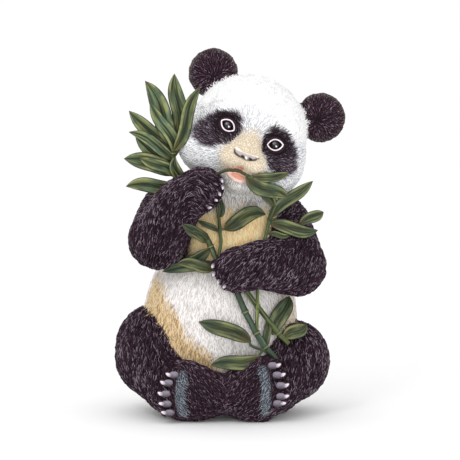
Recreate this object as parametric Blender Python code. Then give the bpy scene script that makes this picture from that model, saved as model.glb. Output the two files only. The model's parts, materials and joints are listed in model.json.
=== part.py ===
"""A seated panda eating bamboo: a painted, hollow-cast resin figurine with its leaf sprigs glued on.

Run with: blender --background --python part.py
Metres, +Z up. The figure faces -Y and the origin is on the flat underside. The casting is modelled solid.
The pose and the proportions are written in steps, shares of the figure's own height.
"""

import math

import bmesh
import bpy
from mathutils.geometry import intersect_point_line
from mathutils import Matrix, Vector

FIGURE_HEIGHT = 0.380  # floor to the tip of the higher ear
HEIGHT_STEPS = 362.0  # how many steps the proportions below count over that height
STEP = FIGURE_HEIGHT / HEIGHT_STEPS
CLEARANCE = 0.0005  # glue gap between the casting and a sprig

FUSE_VOXEL = 0.0024  # grain at which the modelled masses are worked into one skin
DETAIL_VOXEL = 0.0016
PANDA_TRIANGLES = 4500

HEAD_CENTRE = Vector((25, -8, 279))
HEAD_ROLL = math.radians(22.5)  # the head leans towards the figure's left shoulder
HEAD_LIFT = math.radians(8.0)  # the face looks up a little
EYE_SPACING = 52.0
EAR_SPACING = 116.0

CANE_SIDES = 6
RING_SWELL = 1.22
LEAF_STATIONS = 5
LEAF_THICKNESS = 2.2
LEAF_LEAST_HALF = 0.5
LEAF_FOLD = 0.22
STALK_RADIUS = 1.3
STALK_SHARE = 0.12


def clear_scene():
    for old in list(bpy.data.objects):
        bpy.data.objects.remove(old)


def material(name, colour, roughness):
    made = bpy.data.materials.new(name)
    made.use_nodes = True
    shader = made.node_tree.nodes["Principled BSDF"]
    shader.inputs["Base Color"].default_value = (*colour, 1.0)
    shader.inputs["Roughness"].default_value = roughness
    shader.inputs["Metallic"].default_value = 0.0
    return made


# Clay: every mass is a ball or a limb, in steps

def add_ball(clay, centre, radii, turn=(0, 0, 0), frame=None, fineness=4):
    """An ellipsoid, turned by degrees about X, Y and Z, in the frame's axes when one is given."""
    spin = Matrix.Identity(3)
    for angle, axis in zip(turn, "XYZ"):
        spin = Matrix.Rotation(math.radians(angle), 3, axis) @ spin
    place = Matrix.Translation(Vector(centre)) @ spin.to_4x4() @ Matrix.Diagonal((*radii, 1.0))
    if frame is not None:
        place = frame @ place
    bmesh.ops.create_icosphere(clay, subdivisions=fineness, radius=1.0, matrix=place)


def add_limb(clay, joints, frame=None, fineness=3):
    """A rounded limb through (centre, radius) joints: the hull of each neighbouring pair of balls."""
    for (start, start_radius), (end, end_radius) in zip(joints, joints[1:]):
        piece = bmesh.new()
        for centre, radius in ((start, start_radius), (end, end_radius)):
            place = Matrix.Translation(Vector(centre)) @ Matrix.Scale(radius, 4)
            if frame is not None:
                place = frame @ place
            bmesh.ops.create_icosphere(piece, subdivisions=fineness, radius=1.0, matrix=place)
        hull = bmesh.ops.convex_hull(piece, input=piece.verts, use_existing_faces=False)
        spare = {v for v in piece.verts if not v.link_faces}
        spare |= {v for v in hull["geom_interior"] if isinstance(v, bmesh.types.BMVert)}
        bmesh.ops.delete(piece, geom=[f for f in piece.faces if f not in set(hull["geom"])],
                         context="FACES_ONLY")
        bmesh.ops.delete(piece, geom=list(spare), context="VERTS")
        bmesh.ops.recalc_face_normals(piece, faces=piece.faces)
        kept = bpy.data.meshes.new("limb_piece")
        piece.to_mesh(kept)
        piece.free()
        clay.from_mesh(kept)
        bpy.data.meshes.remove(kept)


def new_object(name, mesh):
    made = bpy.data.objects.new(name, mesh)
    bpy.context.scene.collection.objects.link(made)
    return made


def evaluated_copy(thing, name):
    """A plain mesh of the object with its modifiers applied."""
    bpy.context.view_layer.update()
    graph = bpy.context.evaluated_depsgraph_get()
    mesh = bpy.data.meshes.new_from_object(thing.evaluated_get(graph))
    mesh.name = name
    return mesh


def evaluated_mesh(thing, name):
    """The same for an object that has served its purpose and is removed."""
    mesh = evaluated_copy(thing, name)
    bpy.data.objects.remove(thing)
    return mesh


def keep_largest_body(mesh):
    """Drops the pockets and crumbs that fusing or cutting leaves beside the one body."""
    clay = bmesh.new()
    clay.from_mesh(mesh)
    clay.verts.ensure_lookup_table()
    left = set(clay.verts)
    bodies = []
    while left:
        grown = {left.pop()}
        edge = list(grown)
        while edge:
            vertex = edge.pop()
            for link in vertex.link_edges:
                other = link.other_vert(vertex)
                if other not in grown:
                    grown.add(other)
                    edge.append(other)
        left -= grown
        bodies.append(grown)
    bodies.sort(key=len)
    bmesh.ops.delete(clay, geom=[v for body in bodies[:-1] for v in body], context="VERTS")
    clay.to_mesh(mesh)
    clay.free()


def fused(clay, name, voxel, smoothing):
    """The loose masses worked into one closed skin, with its creases softened."""
    bmesh.ops.scale(clay, vec=(STEP, STEP, STEP), verts=clay.verts)
    mesh = bpy.data.meshes.new(name + "_clay")
    clay.to_mesh(mesh)
    clay.free()
    lump = new_object(name + "_lump", mesh)
    skin = lump.modifiers.new("skin", "REMESH")
    skin.mode = "VOXEL"
    skin.voxel_size = voxel
    soften = lump.modifiers.new("soften", "SMOOTH")
    soften.factor = 0.5
    soften.iterations = smoothing
    return evaluated_mesh(lump, name)


# Head: skull, cheeks, brow, muzzle and ears, placed in the head's own axes

def head_frame():
    """Head axes in the figure's steps: X to the viewer's right, -Y out of the face, Z to the crown."""
    return (Matrix.Translation(HEAD_CENTRE)
            @ Matrix.Rotation(-HEAD_LIFT, 4, "X")
            @ Matrix.Rotation(HEAD_ROLL, 4, "Y"))


def head_masses():
    frame = head_frame()
    clay = bmesh.new()
    add_ball(clay, (-2.5, 0, 2), (57.5, 56, 56), frame=frame)
    add_ball(clay, (-30, -6, -22), (38, 44, 36), frame=frame)
    add_ball(clay, (28, -6, -20), (35, 44, 36), frame=frame)
    add_ball(clay, (2, -22, -30), (40, 38, 32), frame=frame)
    add_ball(clay, (0, -26, 18), (40, 32, 26), frame=frame)
    add_ball(clay, (2, -40, -38), (25, 24, 19), frame=frame)
    add_ball(clay, (2, -48, -19), (22, 24, 20), frame=frame)
    for side in (-1, 1):
        ear_radius = 25.5 if side < 0 else 23.5
        ear = (side * EAR_SPACING / 2, 10, 41.3)
        add_ball(clay, ear, (ear_radius, 10, ear_radius), turn=(0, 0, side * 8), frame=frame)
        add_limb(clay, [((side * 36, 8, 28), 16), ((side * 52, 10, 39), 10)], frame=frame)
    return fused(clay, "head", FUSE_VOXEL, 7)


def face_details(clay):
    frame = head_frame()
    for side in (-1, 1):
        add_ball(clay, (1.4 + side * EYE_SPACING / 2, -49, -2.7), (8, 7, 7), frame=frame, fineness=3)
        add_ball(clay, (4 + side * 10, -58, -30), (11.5, 11, 9.5), frame=frame, fineness=3)
    add_ball(clay, (3.7, -63, -22.5), (12, 9, 6.5), turn=(-20, 0, 0), frame=frame, fineness=3)
    add_ball(clay, (4, -54, -46.5), (11, 9, 4.5), frame=frame, fineness=3)


# Body: torso, arms and legs

def body_masses():
    clay = bmesh.new()
    add_ball(clay, (-6, 0, 90), (77, 65, 85))
    add_ball(clay, (0, 16, 44), (76, 62, 62))
    add_ball(clay, (0, 8, 166), (62, 54, 62))
    add_ball(clay, (-2, 18, 118), (66, 56, 74))
    add_limb(clay, [((-54, 8, 190), 28), ((48, 8, 186), 28)])
    add_limb(clay, [((10, 12, 198), 47), ((20, 10, 248), 42)])
    add_ball(clay, (0, 72, 34), (15, 14, 18))
    return fused(clay, "torso", FUSE_VOXEL, 8)


def limb_masses():
    clay = bmesh.new()
    add_limb(clay, [((-58, 4, 196), 28), ((-67, -42, 177), 28.5), ((-46, -62, 217), 22.5)])
    add_limb(clay, [((-46, -62, 217), 22.5), ((-24, -74, 231), 23)])
    add_limb(clay, [((54, 6, 187), 28), ((70, -34, 149), 28.5), ((34, -62, 155), 22.5)])
    add_limb(clay, [((34, -62, 155), 22.5), ((9, -74, 151), 22.5)])
    add_ball(clay, (-72, -12, 64), (37, 42, 42))
    add_ball(clay, (64, -15, 53), (38, 44, 38))
    add_limb(clay, [((-77, -26, 50), 28), ((-54, -58, 32), 26)])
    add_limb(clay, [((66, -26, 46), 28), ((48, -54, 32), 26)])
    for side, toe_x, mid_x, low in ((-1, -43, -26, 1.5), (1, 36, 22, 0)):
        add_ball(clay, (toe_x, -70, 31 - low), (23, 21, 32.5 - 2 * low))
        add_ball(clay, (mid_x, -70, 29 - low), (26, 21, 27 - low))
        add_ball(clay, (side * 8, -68, 27), (19, 19, 18))
    return fused(clay, "limbs", FUSE_VOXEL, 3)


LEFT_TOES = ((-57, 50), (-62.5, 42), (-65, 31), (-64, 21), (-61.5, 12))
RIGHT_TOES = ((52, 59), (56.5, 49.5), (60, 39), (60, 28), (57, 21))


def foot_details(clay):
    for x, z in LEFT_TOES:
        add_ball(clay, (x + 4, -80, z), (10, 10, 5.8), fineness=2)
        add_ball(clay, (x - 1, -88, z + 0.5), (5, 3.2, 2.6), turn=(0, 8, 0), fineness=2)
    for x, z in RIGHT_TOES:
        add_ball(clay, (x - 4, -77, z), (9, 10, 5.8), fineness=2)
        add_ball(clay, (x + 2, -84, z + 0.5), (5, 3.2, 2.6), turn=(0, -8, 0), fineness=2)


UPPER_CLAWS = ((-4, 243), (-3, 235), (-6, 228), (-10, 221), (-16, 214))
LOWER_CLAWS = ((-14, 157), (-13, 149), (-9, 142), (-3, 137))


def paw_details(clay):
    for x, z in UPPER_CLAWS:
        add_ball(clay, (x, -86, z), (3.2, 3, 2.6), fineness=2)
    for x, z in LOWER_CLAWS:
        add_ball(clay, (x, -82, z), (3.0, 3, 2.6), fineness=2)


def build_panda(resin):
    """The one casting: head, torso and limbs in one skin, cut flat below."""
    clay = bmesh.new()
    face_details(clay)
    foot_details(clay)
    paw_details(clay)
    bmesh.ops.scale(clay, vec=(STEP, STEP, STEP), verts=clay.verts)
    for mesh in (head_masses(), body_masses(), limb_masses()):
        clay.from_mesh(mesh)
        bpy.data.meshes.remove(mesh)
    mesh = bpy.data.meshes.new("panda_figurine")
    clay.to_mesh(mesh)
    clay.free()
    panda = new_object("panda_figurine", mesh)
    skin = panda.modifiers.new("skin", "REMESH")
    skin.mode = "VOXEL"
    skin.voxel_size = DETAIL_VOXEL
    soften = panda.modifiers.new("soften", "SMOOTH")
    soften.factor = 0.5
    soften.iterations = 2
    cast = evaluated_mesh(panda, "panda_figurine")
    keep_largest_body(cast)
    panda = new_object("panda_figurine", cast)
    facets = panda.modifiers.new("facets", "DECIMATE")
    facets.ratio = PANDA_TRIANGLES / sum(len(face.vertices) - 2 for face in cast.polygons)
    flat = panda.modifiers.new("flat_underside", "BOOLEAN")
    flat.operation = "DIFFERENCE"
    flat.object = add_floor_cutter()
    panda.data.materials.append(resin)
    return panda


def add_floor_cutter():
    clay = bmesh.new()
    size = FIGURE_HEIGHT
    bmesh.ops.create_cube(clay, size=1.0, matrix=Matrix.Translation((0, 0, -size / 4))
                          @ Matrix.Diagonal((2 * size, 2 * size, size / 2, 1.0)))
    mesh = bpy.data.meshes.new("floor_cutter")
    clay.to_mesh(mesh)
    clay.free()
    cutter = new_object("floor_cutter", mesh)
    cutter.hide_render = True
    cutter.display_type = "WIRE"
    return cutter


# Bamboo: canes with raised joints, and lance-shaped leaves fused to them

def cane_stations(points, radius):
    """Centres and radii along a cane. Each point between the ends is a joint with a raised ring."""
    ring_half = 0.9 * radius
    stations = [(points[0], radius)]
    for before, joint, after in zip(points, points[1:], points[2:]):
        towards = (after - before).normalized()
        stations += [(joint - towards * ring_half, radius), (joint, radius * RING_SWELL),
                     (joint + towards * ring_half, radius)]
    stations.append((points[-1], radius))
    return stations


def add_rings(clay, rings):
    """Skins a row of equal rings of points and closes both ends."""
    made = [[clay.verts.new(point) for point in ring] for ring in rings]
    count = len(made[0])
    for here, there in zip(made, made[1:]):
        for i in range(count):
            j = (i + 1) % count
            clay.faces.new((here[i], here[j], there[j], there[i]))
    clay.faces.new(list(reversed(made[0])))
    clay.faces.new(made[-1])


def add_cane(clay, points, radius):
    points = [Vector(point) for point in points]
    stations = cane_stations(points, radius)
    rings = []
    for i, (centre, size) in enumerate(stations):
        ahead = stations[min(i + 1, len(stations) - 1)][0] - stations[max(i - 1, 0)][0]
        across = ahead.cross(Vector((0, 1, 0))).normalized()
        outward = ahead.cross(across).normalized()
        rings.append([centre + size * (across * math.cos(angle) + outward * math.sin(angle))
                      for angle in (2 * math.pi * k / CANE_SIDES for k in range(CANE_SIDES))])
    add_rings(clay, rings)


def leaf_half_width(t, width):
    """Half of the blade's width at share t of its length: full below the middle, drawn out to a tip."""
    return max(width / 2 * (1 - abs(2 * t ** 0.85 - 1) ** 2.9), LEAF_LEAST_HALF)


def add_leaf(clay, base, tip, width, bow=3.0, sweep=0.0, tilt=0.0):
    """A folded blade from base to tip. bow lifts its middle towards the viewer, sweep carries it sideways."""
    base, tip = Vector(base), Vector(tip)
    along = (tip - base).normalized()
    face = Vector((0, -1, 0))
    face = (face - along * face.dot(along)).normalized()
    face = Matrix.Rotation(math.radians(tilt), 3, along) @ face
    across = along.cross(face).normalized()
    rings = []
    for i in range(LEAF_STATIONS + 1):
        t = i / LEAF_STATIONS
        arch = 4 * t * (1 - t)
        centre = base.lerp(tip, t) + face * bow * arch + across * sweep * arch
        half = leaf_half_width(t, width)
        thick = LEAF_THICKNESS * (0.45 + 0.55 * arch)
        fold = LEAF_FOLD * half
        section = ((-half, fold), (-half / 2, fold / 2 + 0.55 * thick), (0, 0.2 * thick),
                   (half / 2, fold / 2 + 0.55 * thick), (half, fold), (0, -0.6 * thick))
        rings.append([centre + across * x + face * y for x, y in section])
    add_rings(clay, rings)


def nearest_on_canes(canes, point):
    """The point of the canes' centre lines that lies nearest to a leaf's base."""
    point = Vector(point)
    found = []
    for points, _ in canes:
        for start, end in zip(points, points[1:]):
            start, end = Vector(start), Vector(end)
            spot, share = intersect_point_line(point, start, end)
            spot = start.lerp(end, min(max(share, 0), 1))
            found.append(((spot - point).length, spot))
    return min(found, key=lambda pair: pair[0])[1]


def add_stalk(clay, start, end):
    along = (end - start).normalized()
    across = along.cross(Vector((0.3, -1, 0.1))).normalized()
    outward = along.cross(across)
    rings = []
    for centre, size in ((start, STALK_RADIUS * 1.2), (end, STALK_RADIUS)):
        rings.append([centre + size * (across * math.cos(angle) + outward * math.sin(angle))
                      for angle in (2 * math.pi * k / 5 for k in range(5))])
    add_rings(clay, rings)


def build_sprig(name, canes, leaves, paint, cutter):
    """One cast sprig: its canes and leaves united, then cut back to a glue gap from the casting."""
    clay = bmesh.new()
    for points, radius in canes:
        add_cane(clay, points, radius)
    for leaf in leaves:
        add_leaf(clay, *leaf)
        base, tip = Vector(leaf[0]), Vector(leaf[1])
        add_stalk(clay, nearest_on_canes(canes, base), base.lerp(tip, STALK_SHARE))
    bmesh.ops.recalc_face_normals(clay, faces=clay.faces)
    bmesh.ops.scale(clay, vec=(STEP, STEP, STEP), verts=clay.verts)
    mesh = bpy.data.meshes.new(name)
    clay.to_mesh(mesh)
    clay.free()
    sprig = new_object(name, mesh)
    cut = sprig.modifiers.new("glue_gap", "BOOLEAN")
    cut.operation = "DIFFERENCE"
    cut.object = cutter
    cut.use_self = True
    mesh = evaluated_mesh(sprig, name)
    keep_largest_body(mesh)
    sprig = new_object(name, mesh)
    sprig.data.materials.clear()
    sprig.data.materials.append(paint)
    return sprig


def add_glue_cutter(panda):
    """The casting's skin moved out by the glue gap, for cutting the sprigs."""
    mesh = evaluated_copy(panda, "glue_cutter")
    cutter = new_object("glue_cutter", mesh)
    swell = cutter.modifiers.new("gap", "DISPLACE")
    swell.mid_level = 0.0
    swell.strength = CLEARANCE
    cutter.hide_render = True
    cutter.display_type = "WIRE"
    return cutter


# Each cane is its points and its radius. Each leaf is its base, tip, width, bow, sweep and tilt.

TOP_SPRAY_CANES = (
    (((-40, -36, 222), (-50, -33, 247), (-52, -32, 262), (-51, -31, 278)), 2.4),
)
TOP_SPRAY_LEAVES = (
    ((-50, -28, 276), (-51, -22, 340), 17, 3, 3, 10),
    ((-49, -28, 266), (-80, -24, 333), 20, 3, 3, -14),
    ((-50, -31, 258), (-75, -36, 313), 13, 4, 3, 8),
    ((-52, -36, 264), (-25, -60, 331), 13, 3, 1, -10),
    ((-50, -27, 264), (-96, -22, 303), 15, 3, -3, 12),
    ((-50, -30, 254), (-96, -32, 283), 12, 3, 4, 0),
    ((-50, -27, 248), (-90, -20, 279), 13, 2, -3, -8),
    ((-49, -30, 240), (-101, -28, 256), 18, 4, 4, 10),
    ((-48, -34, 238), (-85, -40, 258), 13, 4, 4, -8),
    ((-44, -33, 232), (-50, -42, 260), 12, 3, -2, 0),
    ((-47, -30, 228), (-99, -34, 229), 15, 4, 1, 6),
)
MOUTH_CANES = (
    (((-9, -79, 247), (2, -84, 251.6), (12, -84, 250.8), (22, -82, 245.5)), 1.7),
    (((22, -82, 245.5), (36, -67, 227), (47, -50, 212), (43, -44, 198), (38, -50, 176)), 2.0),
)
MOUTH_LEAVES = (
    ((26, -81, 245), (62, -62, 246), 10, 2, 2, 10),
    ((19, -83, 247), (61, -57, 221), 15, 3, 3, -6),
    ((23, -81, 242), (48, -52, 211), 11, 2, -3, 10),
    ((43, -44, 198), (86, -38, 235), 13, 2, -3, 8),
    ((43, -45, 194), (91, -38, 186), 14, 3, 3, -10),
    ((72, -41, 191), (97, -22, 202), 12, 2, -2, 10),
    ((41, -49, 184), (64, -47, 183), 6, 1, 1, 0),
)
CHEST_CANES = (
    (((-21, -58, 185), (-15, -60, 173), (-8, -62, 156), (-4, -64, 146)), 2.9),
    (((-8, -48, 208), (-6, -52, 190), (-5, -54, 176), (-8, -62, 156)), 1.7),
)
CHEST_LEAVES = (
    ((-2, -51, 188), (39.5, -38, 201.5), 16, 3, -6, 0),
    ((-7, -49, 200), (-4, -46, 218), 9, 2, 0, 0),
    ((-7, -52, 186), (-28, -54, 198), 6, 2, 1, 0),
    ((-17, -58, 176), (-44, -78, 198), 11, 2, 2, 0),
    ((-19, -57, 181), (-40, -77, 191), 8, 1, 1, 0),
    ((-15, -58, 171), (-50, -45, 155), 12, 3, -4, -10),
    ((-12, -58, 157), (-63, -42, 145), 11, 3, 1, 0),
    ((-11, -62, 151), (-48, -63, 156), 12, 3, 2, 0),
)
LOWER_CANES = (
    (((7, -66, 138), (19, -69, 109), (30, -69, 88), (39, -66, 73), (50, -63, 60)), 3.1),
    (((31, -64, 134), (31, -68, 112), (30, -69, 90)), 1.9),
    (((18, -66, 132), (31, -65, 114), (52, -59, 86), (62, -56, 75)), 2.7),
    (((25, -69, 75), (40, -67, 69)), 1.4),
)
LOWER_LEAVES = (
    ((25, -68, 79), (-27, -68, 99), 16, 3, 3, 0),
    ((35, -72, 65), (-15, -81, 58), 15, 3, -2, 6),
    ((46, -60, 84), (63, -38, 120), 17, 3, -1, 0),
    ((56, -58, 81), (80, -44, 92), 15, 2, 0, 0),
    ((40, -65, 72), (42, -55, 102), 8, 1, 0, 0),
)

clear_scene()
panda = build_panda(material("painted_resin", (0.05, 0.04, 0.05), 0.7))
leaf_green = material("painted_leaf", (0.13, 0.2, 0.09), 0.5)
glue_cutter = add_glue_cutter(panda)
build_sprig("bamboo_top_spray", TOP_SPRAY_CANES, TOP_SPRAY_LEAVES, leaf_green, glue_cutter)
build_sprig("bamboo_mouth_sprig", MOUTH_CANES, MOUTH_LEAVES, leaf_green, glue_cutter)
build_sprig("bamboo_chest_sprig", CHEST_CANES, CHEST_LEAVES, leaf_green, glue_cutter)
build_sprig("bamboo_lower_canes", LOWER_CANES, LOWER_LEAVES, leaf_green, glue_cutter)
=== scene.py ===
import json
import math

import bmesh
import bpy
import numpy as np
from mathutils import Matrix, Vector
from mathutils.geometry import intersect_point_line

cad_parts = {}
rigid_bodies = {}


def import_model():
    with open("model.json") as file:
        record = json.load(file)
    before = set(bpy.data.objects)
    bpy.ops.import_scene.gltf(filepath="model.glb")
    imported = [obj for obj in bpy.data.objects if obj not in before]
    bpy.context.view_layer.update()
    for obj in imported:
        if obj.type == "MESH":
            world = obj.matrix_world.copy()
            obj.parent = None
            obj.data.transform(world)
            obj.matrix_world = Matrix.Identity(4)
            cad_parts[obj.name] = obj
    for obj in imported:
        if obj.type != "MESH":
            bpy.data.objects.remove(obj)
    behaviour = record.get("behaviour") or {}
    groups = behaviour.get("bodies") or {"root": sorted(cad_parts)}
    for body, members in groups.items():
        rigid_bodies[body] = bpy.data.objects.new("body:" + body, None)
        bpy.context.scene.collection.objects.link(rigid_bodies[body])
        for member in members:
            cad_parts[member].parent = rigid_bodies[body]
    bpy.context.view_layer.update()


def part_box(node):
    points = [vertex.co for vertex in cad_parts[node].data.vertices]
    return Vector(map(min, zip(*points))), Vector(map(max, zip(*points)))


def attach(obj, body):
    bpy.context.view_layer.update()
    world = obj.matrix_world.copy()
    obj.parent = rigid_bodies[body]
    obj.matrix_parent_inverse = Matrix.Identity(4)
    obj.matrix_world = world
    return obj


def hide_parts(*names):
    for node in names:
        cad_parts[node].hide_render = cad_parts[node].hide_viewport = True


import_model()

# The casting: a seated panda poured hollow in filled resin from one carved master.
# Its skin is one closed form, melted together from the same masses as the CAD solid, in the same places.
# Everything about it is written in steps, shares of the figure's height.

FIGURE_STEPS = 361.6
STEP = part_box("panda_figurine")[1][2] / FIGURE_STEPS


def turn(degrees, axis):
    return np.array(Matrix.Rotation(math.radians(degrees), 3, axis))


HEAD_CENTRE = np.array((25.0, -8.0, 279.0))
HEAD_AXES = turn(-8.0, "X") @ turn(22.5, "Y")


def head_place(points):
    """Places in the head's own axes: X to the viewer's right, -Y out of the face, Z to the crown."""
    return (points - HEAD_CENTRE) @ HEAD_AXES


def from_head(places):
    return places @ HEAD_AXES.T + HEAD_CENTRE


def ball(points, centre, radii, axes=None):
    """Distance to an ellipsoid's skin, exact on the skin and close to it."""
    q = points - np.array(centre)
    if axes is not None:
        q = q @ axes
    radii = np.array(radii, float)
    near = np.linalg.norm(q / radii, axis=1) + 1e-9
    steep = np.linalg.norm(q / radii ** 2, axis=1) + 1e-9
    return near * (near - 1) / steep


def limb(points, *joints):
    """Distance to a rounded limb through (centre, radius) joints."""
    found = None
    for (start, start_radius), (end, end_radius) in zip(joints, joints[1:]):
        start, end = np.array(start, float), np.array(end, float)
        along = end - start
        share = np.clip((points - start) @ along / (along @ along), 0, 1)
        gap = np.linalg.norm(points - start - share[:, None] * along, axis=1)
        gap -= start_radius + share * (end_radius - start_radius)
        found = gap if found is None else np.minimum(found, gap)
    return found


def melt(first, second, reach):
    """The union of two distances with its crease filled over the given reach."""
    overlap = np.maximum(reach - np.abs(first - second), 0) / reach
    return np.minimum(first, second) - overlap ** 2 * reach / 4


def melted(reach, *distances):
    found = distances[0]
    for other in distances[1:]:
        found = melt(found, other, reach)
    return found


def dug(solid, hollow, reach):
    """The solid with a hollow dug out of it, its rim rounded over the reach."""
    return -melt(-solid, hollow, reach)


EAR_SPREAD = 58.0
EAR_RADII = {-1: 24.4, 1: 24.2}
EYES = {-1: (-23.8, -2.8), 1: (26.5, -2.8)}
EYE_DEPTH = -46.5
EYE_OPENING = (7.1, 4.8)
EYE_TILT = {-1: 16.0, 1: -22.0}


def skull(q):
    head = melted(
        12,
        ball(q, (-2.5, 0, 2), (56.5, 56, 55)),
        ball(q, (-31, -6, -22), (37, 44, 35)),
        ball(q, (28, -6, -20), (34, 44, 35)),
        ball(q, (2, -22, -30), (40, 37, 31)),
        ball(q, (0, -26, 18), (40, 32, 26)),
    )
    muzzle = melted(
        8,
        ball(q, (3, -46, -22), (22, 24, 19)),
        limb(q, ((2, -44, 3), 13), ((3.2, -59, -18.5), 11.5)),
        ball(q, (-8, -56, -31), (13, 12.5, 10)),
        ball(q, (15, -56, -29.5), (13, 12.5, 10)),
    )
    chin = ball(q, (4, -43, -46), (16, 15.5, 13))
    head = melt(melt(head, muzzle, 9), chin, 7)
    for side, (across, up) in EYES.items():
        head = dug(head, ball(q, (across, -59, up), (13, 8, 11)), 9)
        brow = limb(q, ((side * 14, -50, 13), 6), ((side * 34, -42, 14), 6))
        head = melt(head, brow, 14)
        head = melt(head, ball(q, (across, EYE_DEPTH + 1, up), (11, 8.4, 8.8)), 4)
        axes = turn(EYE_TILT[side], "Y")
        opening = ball(q, (across, -57, up), (EYE_OPENING[0], 9.5, EYE_OPENING[1]), axes)
        head = dug(head, opening, 0.8)
    return head


def mouth_hollow(q):
    return melted(
        1.6,
        ball(q, (3.5, -66, -45), (10, 15, 5)),
        ball(q, (-2.1, -66, -41.6), (9.4, 15, 2.7), turn(-24, "Y")),
        ball(q, (3.6, -66, -37.6), (3.6, 15, 2.4), turn(-24, "Y")),
    )


NOSTRILS = ((1.6, -25.8), (9.4, -25.4))


def nose(q):
    pad = melted(3, ball(q, (-2.4, -65.8, -23.0), (7.2, 5.5, 3.4), turn(14, "Y")),
                 ball(q, (10, -65.8, -23.2), (6.8, 5.5, 3.0), turn(-14, "Y")),
                 ball(q, (3.8, -67.4, -24.2), (6, 5, 3.6)))
    for across, up in NOSTRILS:
        pad = dug(pad, ball(q, (across, -72, up), (2.2, 4.0, 1.3)), 0.9)
    return pad


def lips(q):
    lower = limb(q, ((-7, -56, -44.5), 1.5), ((-3, -59.5, -47.6), 1.7), ((3, -61, -49.3), 1.8),
                 ((9.5, -60, -49), 1.7), ((13.5, -56, -46), 1.5))
    tongue = ball(q, (4.2, -55, -45.2), (9, 7.5, 3.7))
    return melt(lower, tongue, 0.9)


def ears(q):
    found = None
    for side in (-1, 1):
        radius = EAR_RADII[side]
        yaw = turn(side * 8, "Z")
        place = (side * EAR_SPREAD, 10, 41.3)
        shell = ball(q, place, (radius, 10.5, radius), yaw)
        cup = ball(q, (place[0] + side * 1.5, -2, 40.3), (radius - 7.5, 7.5, radius - 7.5), yaw)
        root = limb(q, ((side * 36, 8, 28), 16), ((side * 50, 10, 37), 11))
        ear = melt(dug(shell, cup, 6), root, 5)
        found = ear if found is None else np.minimum(found, ear)
    return found


def torso(p):
    return melted(
        16,
        ball(p, (-6, 0, 90), (76, 64, 84)),
        ball(p, (0, 16, 44), (76, 62, 61)),
        ball(p, (0, 8, 166), (61, 53, 61)),
        ball(p, (-2, 18, 118), (65, 55, 73)),
        limb(p, ((-54, 8, 190), 27), ((48, 8, 186), 27)),
        limb(p, ((10, 12, 198), 46), ((20, 10, 248), 41)),
    )


def tail(p):
    return ball(p, (0, 72, 34), (15, 14, 18))


RAISED_CLAWS = ((-4, 241.5), (-3.6, 235), (-6.4, 228.5), (-10, 222.6), (-16, 215))
LOWERED_CLAWS = ((-13.6, 156.5), (-12.5, 148.5), (-8.3, 141), (-2.6, 136.5))
ARMS = {  # joints from shoulder to paw, claw places, and each finger's root and tip from its place
    "raised arm": (
        (((-58, 4, 196), 28), ((-67, -42, 177), 28.5), ((-46, -62, 217), 22.5), ((-24, -72, 231), 21)),
        RAISED_CLAWS, (-18, -76, -1), (-3.5, -83, 0)),
    "lowered arm": (
        (((54, 6, 187), 28), ((70, -34, 149), 28.5), ((34, -62, 155), 22.5), ((10, -72, 151), 21)),
        LOWERED_CLAWS, (16, -76, 4), (4, -80, 1.5)),
}
LEFT_TOES = ((-57, 50), (-62.5, 42), (-65, 31), (-64, 21), (-61.5, 12))
RIGHT_TOES = ((52, 59), (56.5, 49.5), (60, 39), (60, 28), (57, 21))
LEGS = {  # thigh, shin, the sole's three masses, toe places, and each toe's root and tip from its place
    "left leg": (
        ((-72, -12, 64), (37, 42, 42)), (((-77, -26, 50), 28), ((-54, -58, 32), 26)),
        (((-40, -68, 29.5), (23, 20, 29.5)), ((-26, -70, 27.5), (26, 20, 25.5)),
         ((-8, -68, 27), (19, 19, 18))),
        LEFT_TOES, (14, -79, 0), (2, -84.5, 0)),
    "right leg": (
        ((64, -15, 53), (38, 44, 38)), (((66, -26, 46), 28), ((48, -54, 32), 26)),
        (((32, -68, 31), (23, 20, 32.5)), ((22, -70, 29), (26, 20, 27)), ((8, -68, 27), (19, 19, 18))),
        RIGHT_TOES, (-14, -78, 0), (-2, -82.5, 0)),
}


def digits(p, places, root, tip, radii, reach):
    """Fingers or toes, one for each place (x, z) where a claw is set."""
    ends = ((root, radii[0]), (tip, radii[1]))
    return melted(reach, *(limb(p, *(((x + dx, y, z + dz), radius) for (dx, y, dz), radius in ends))
                           for x, z in places))


def arm(p, name):
    joints, places, root, tip = ARMS[name]
    return melt(limb(p, *joints), digits(p, places, root, tip, (7, 4.4), 1.2), 3)


def leg(p, name):
    thigh, shin, sole, places, root, tip = LEGS[name]
    thigh = melt(ball(p, *thigh), limb(p, *shin), 14)
    sole = melted(8, *(ball(p, *part) for part in sole))
    return melt(melt(thigh, sole, 8), digits(p, places, root, tip, (6.2, 4.9), 0.8), 2.5)


def masses(p):
    """Distances to each mass of the casting, by name."""
    q = head_place(p)
    head = dug(melt(skull(q), nose(q), 2.5), mouth_hollow(q), 1.6)
    return {
        "head": melt(head, lips(q), 1.0),
        "ears": ears(q),
        "torso": torso(p),
        "tail": tail(p),
        **{name: arm(p, name) for name in ARMS},
        **{name: leg(p, name) for name in LEGS},
    }


def casting(p):
    """Distance to the whole casting, flat below."""
    m = masses(p)
    head = melt(m["head"], m["ears"], 4)
    body = melt(m["torso"], m["tail"], 8)
    body = melt(body, head, 6)
    body = melt(body, melt(m["left leg"], m["right leg"], 3), 3)
    body = melt(body, np.minimum(m["raised arm"], m["lowered arm"]), 2.5)
    return np.maximum(body, -p[:, 2])


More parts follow.
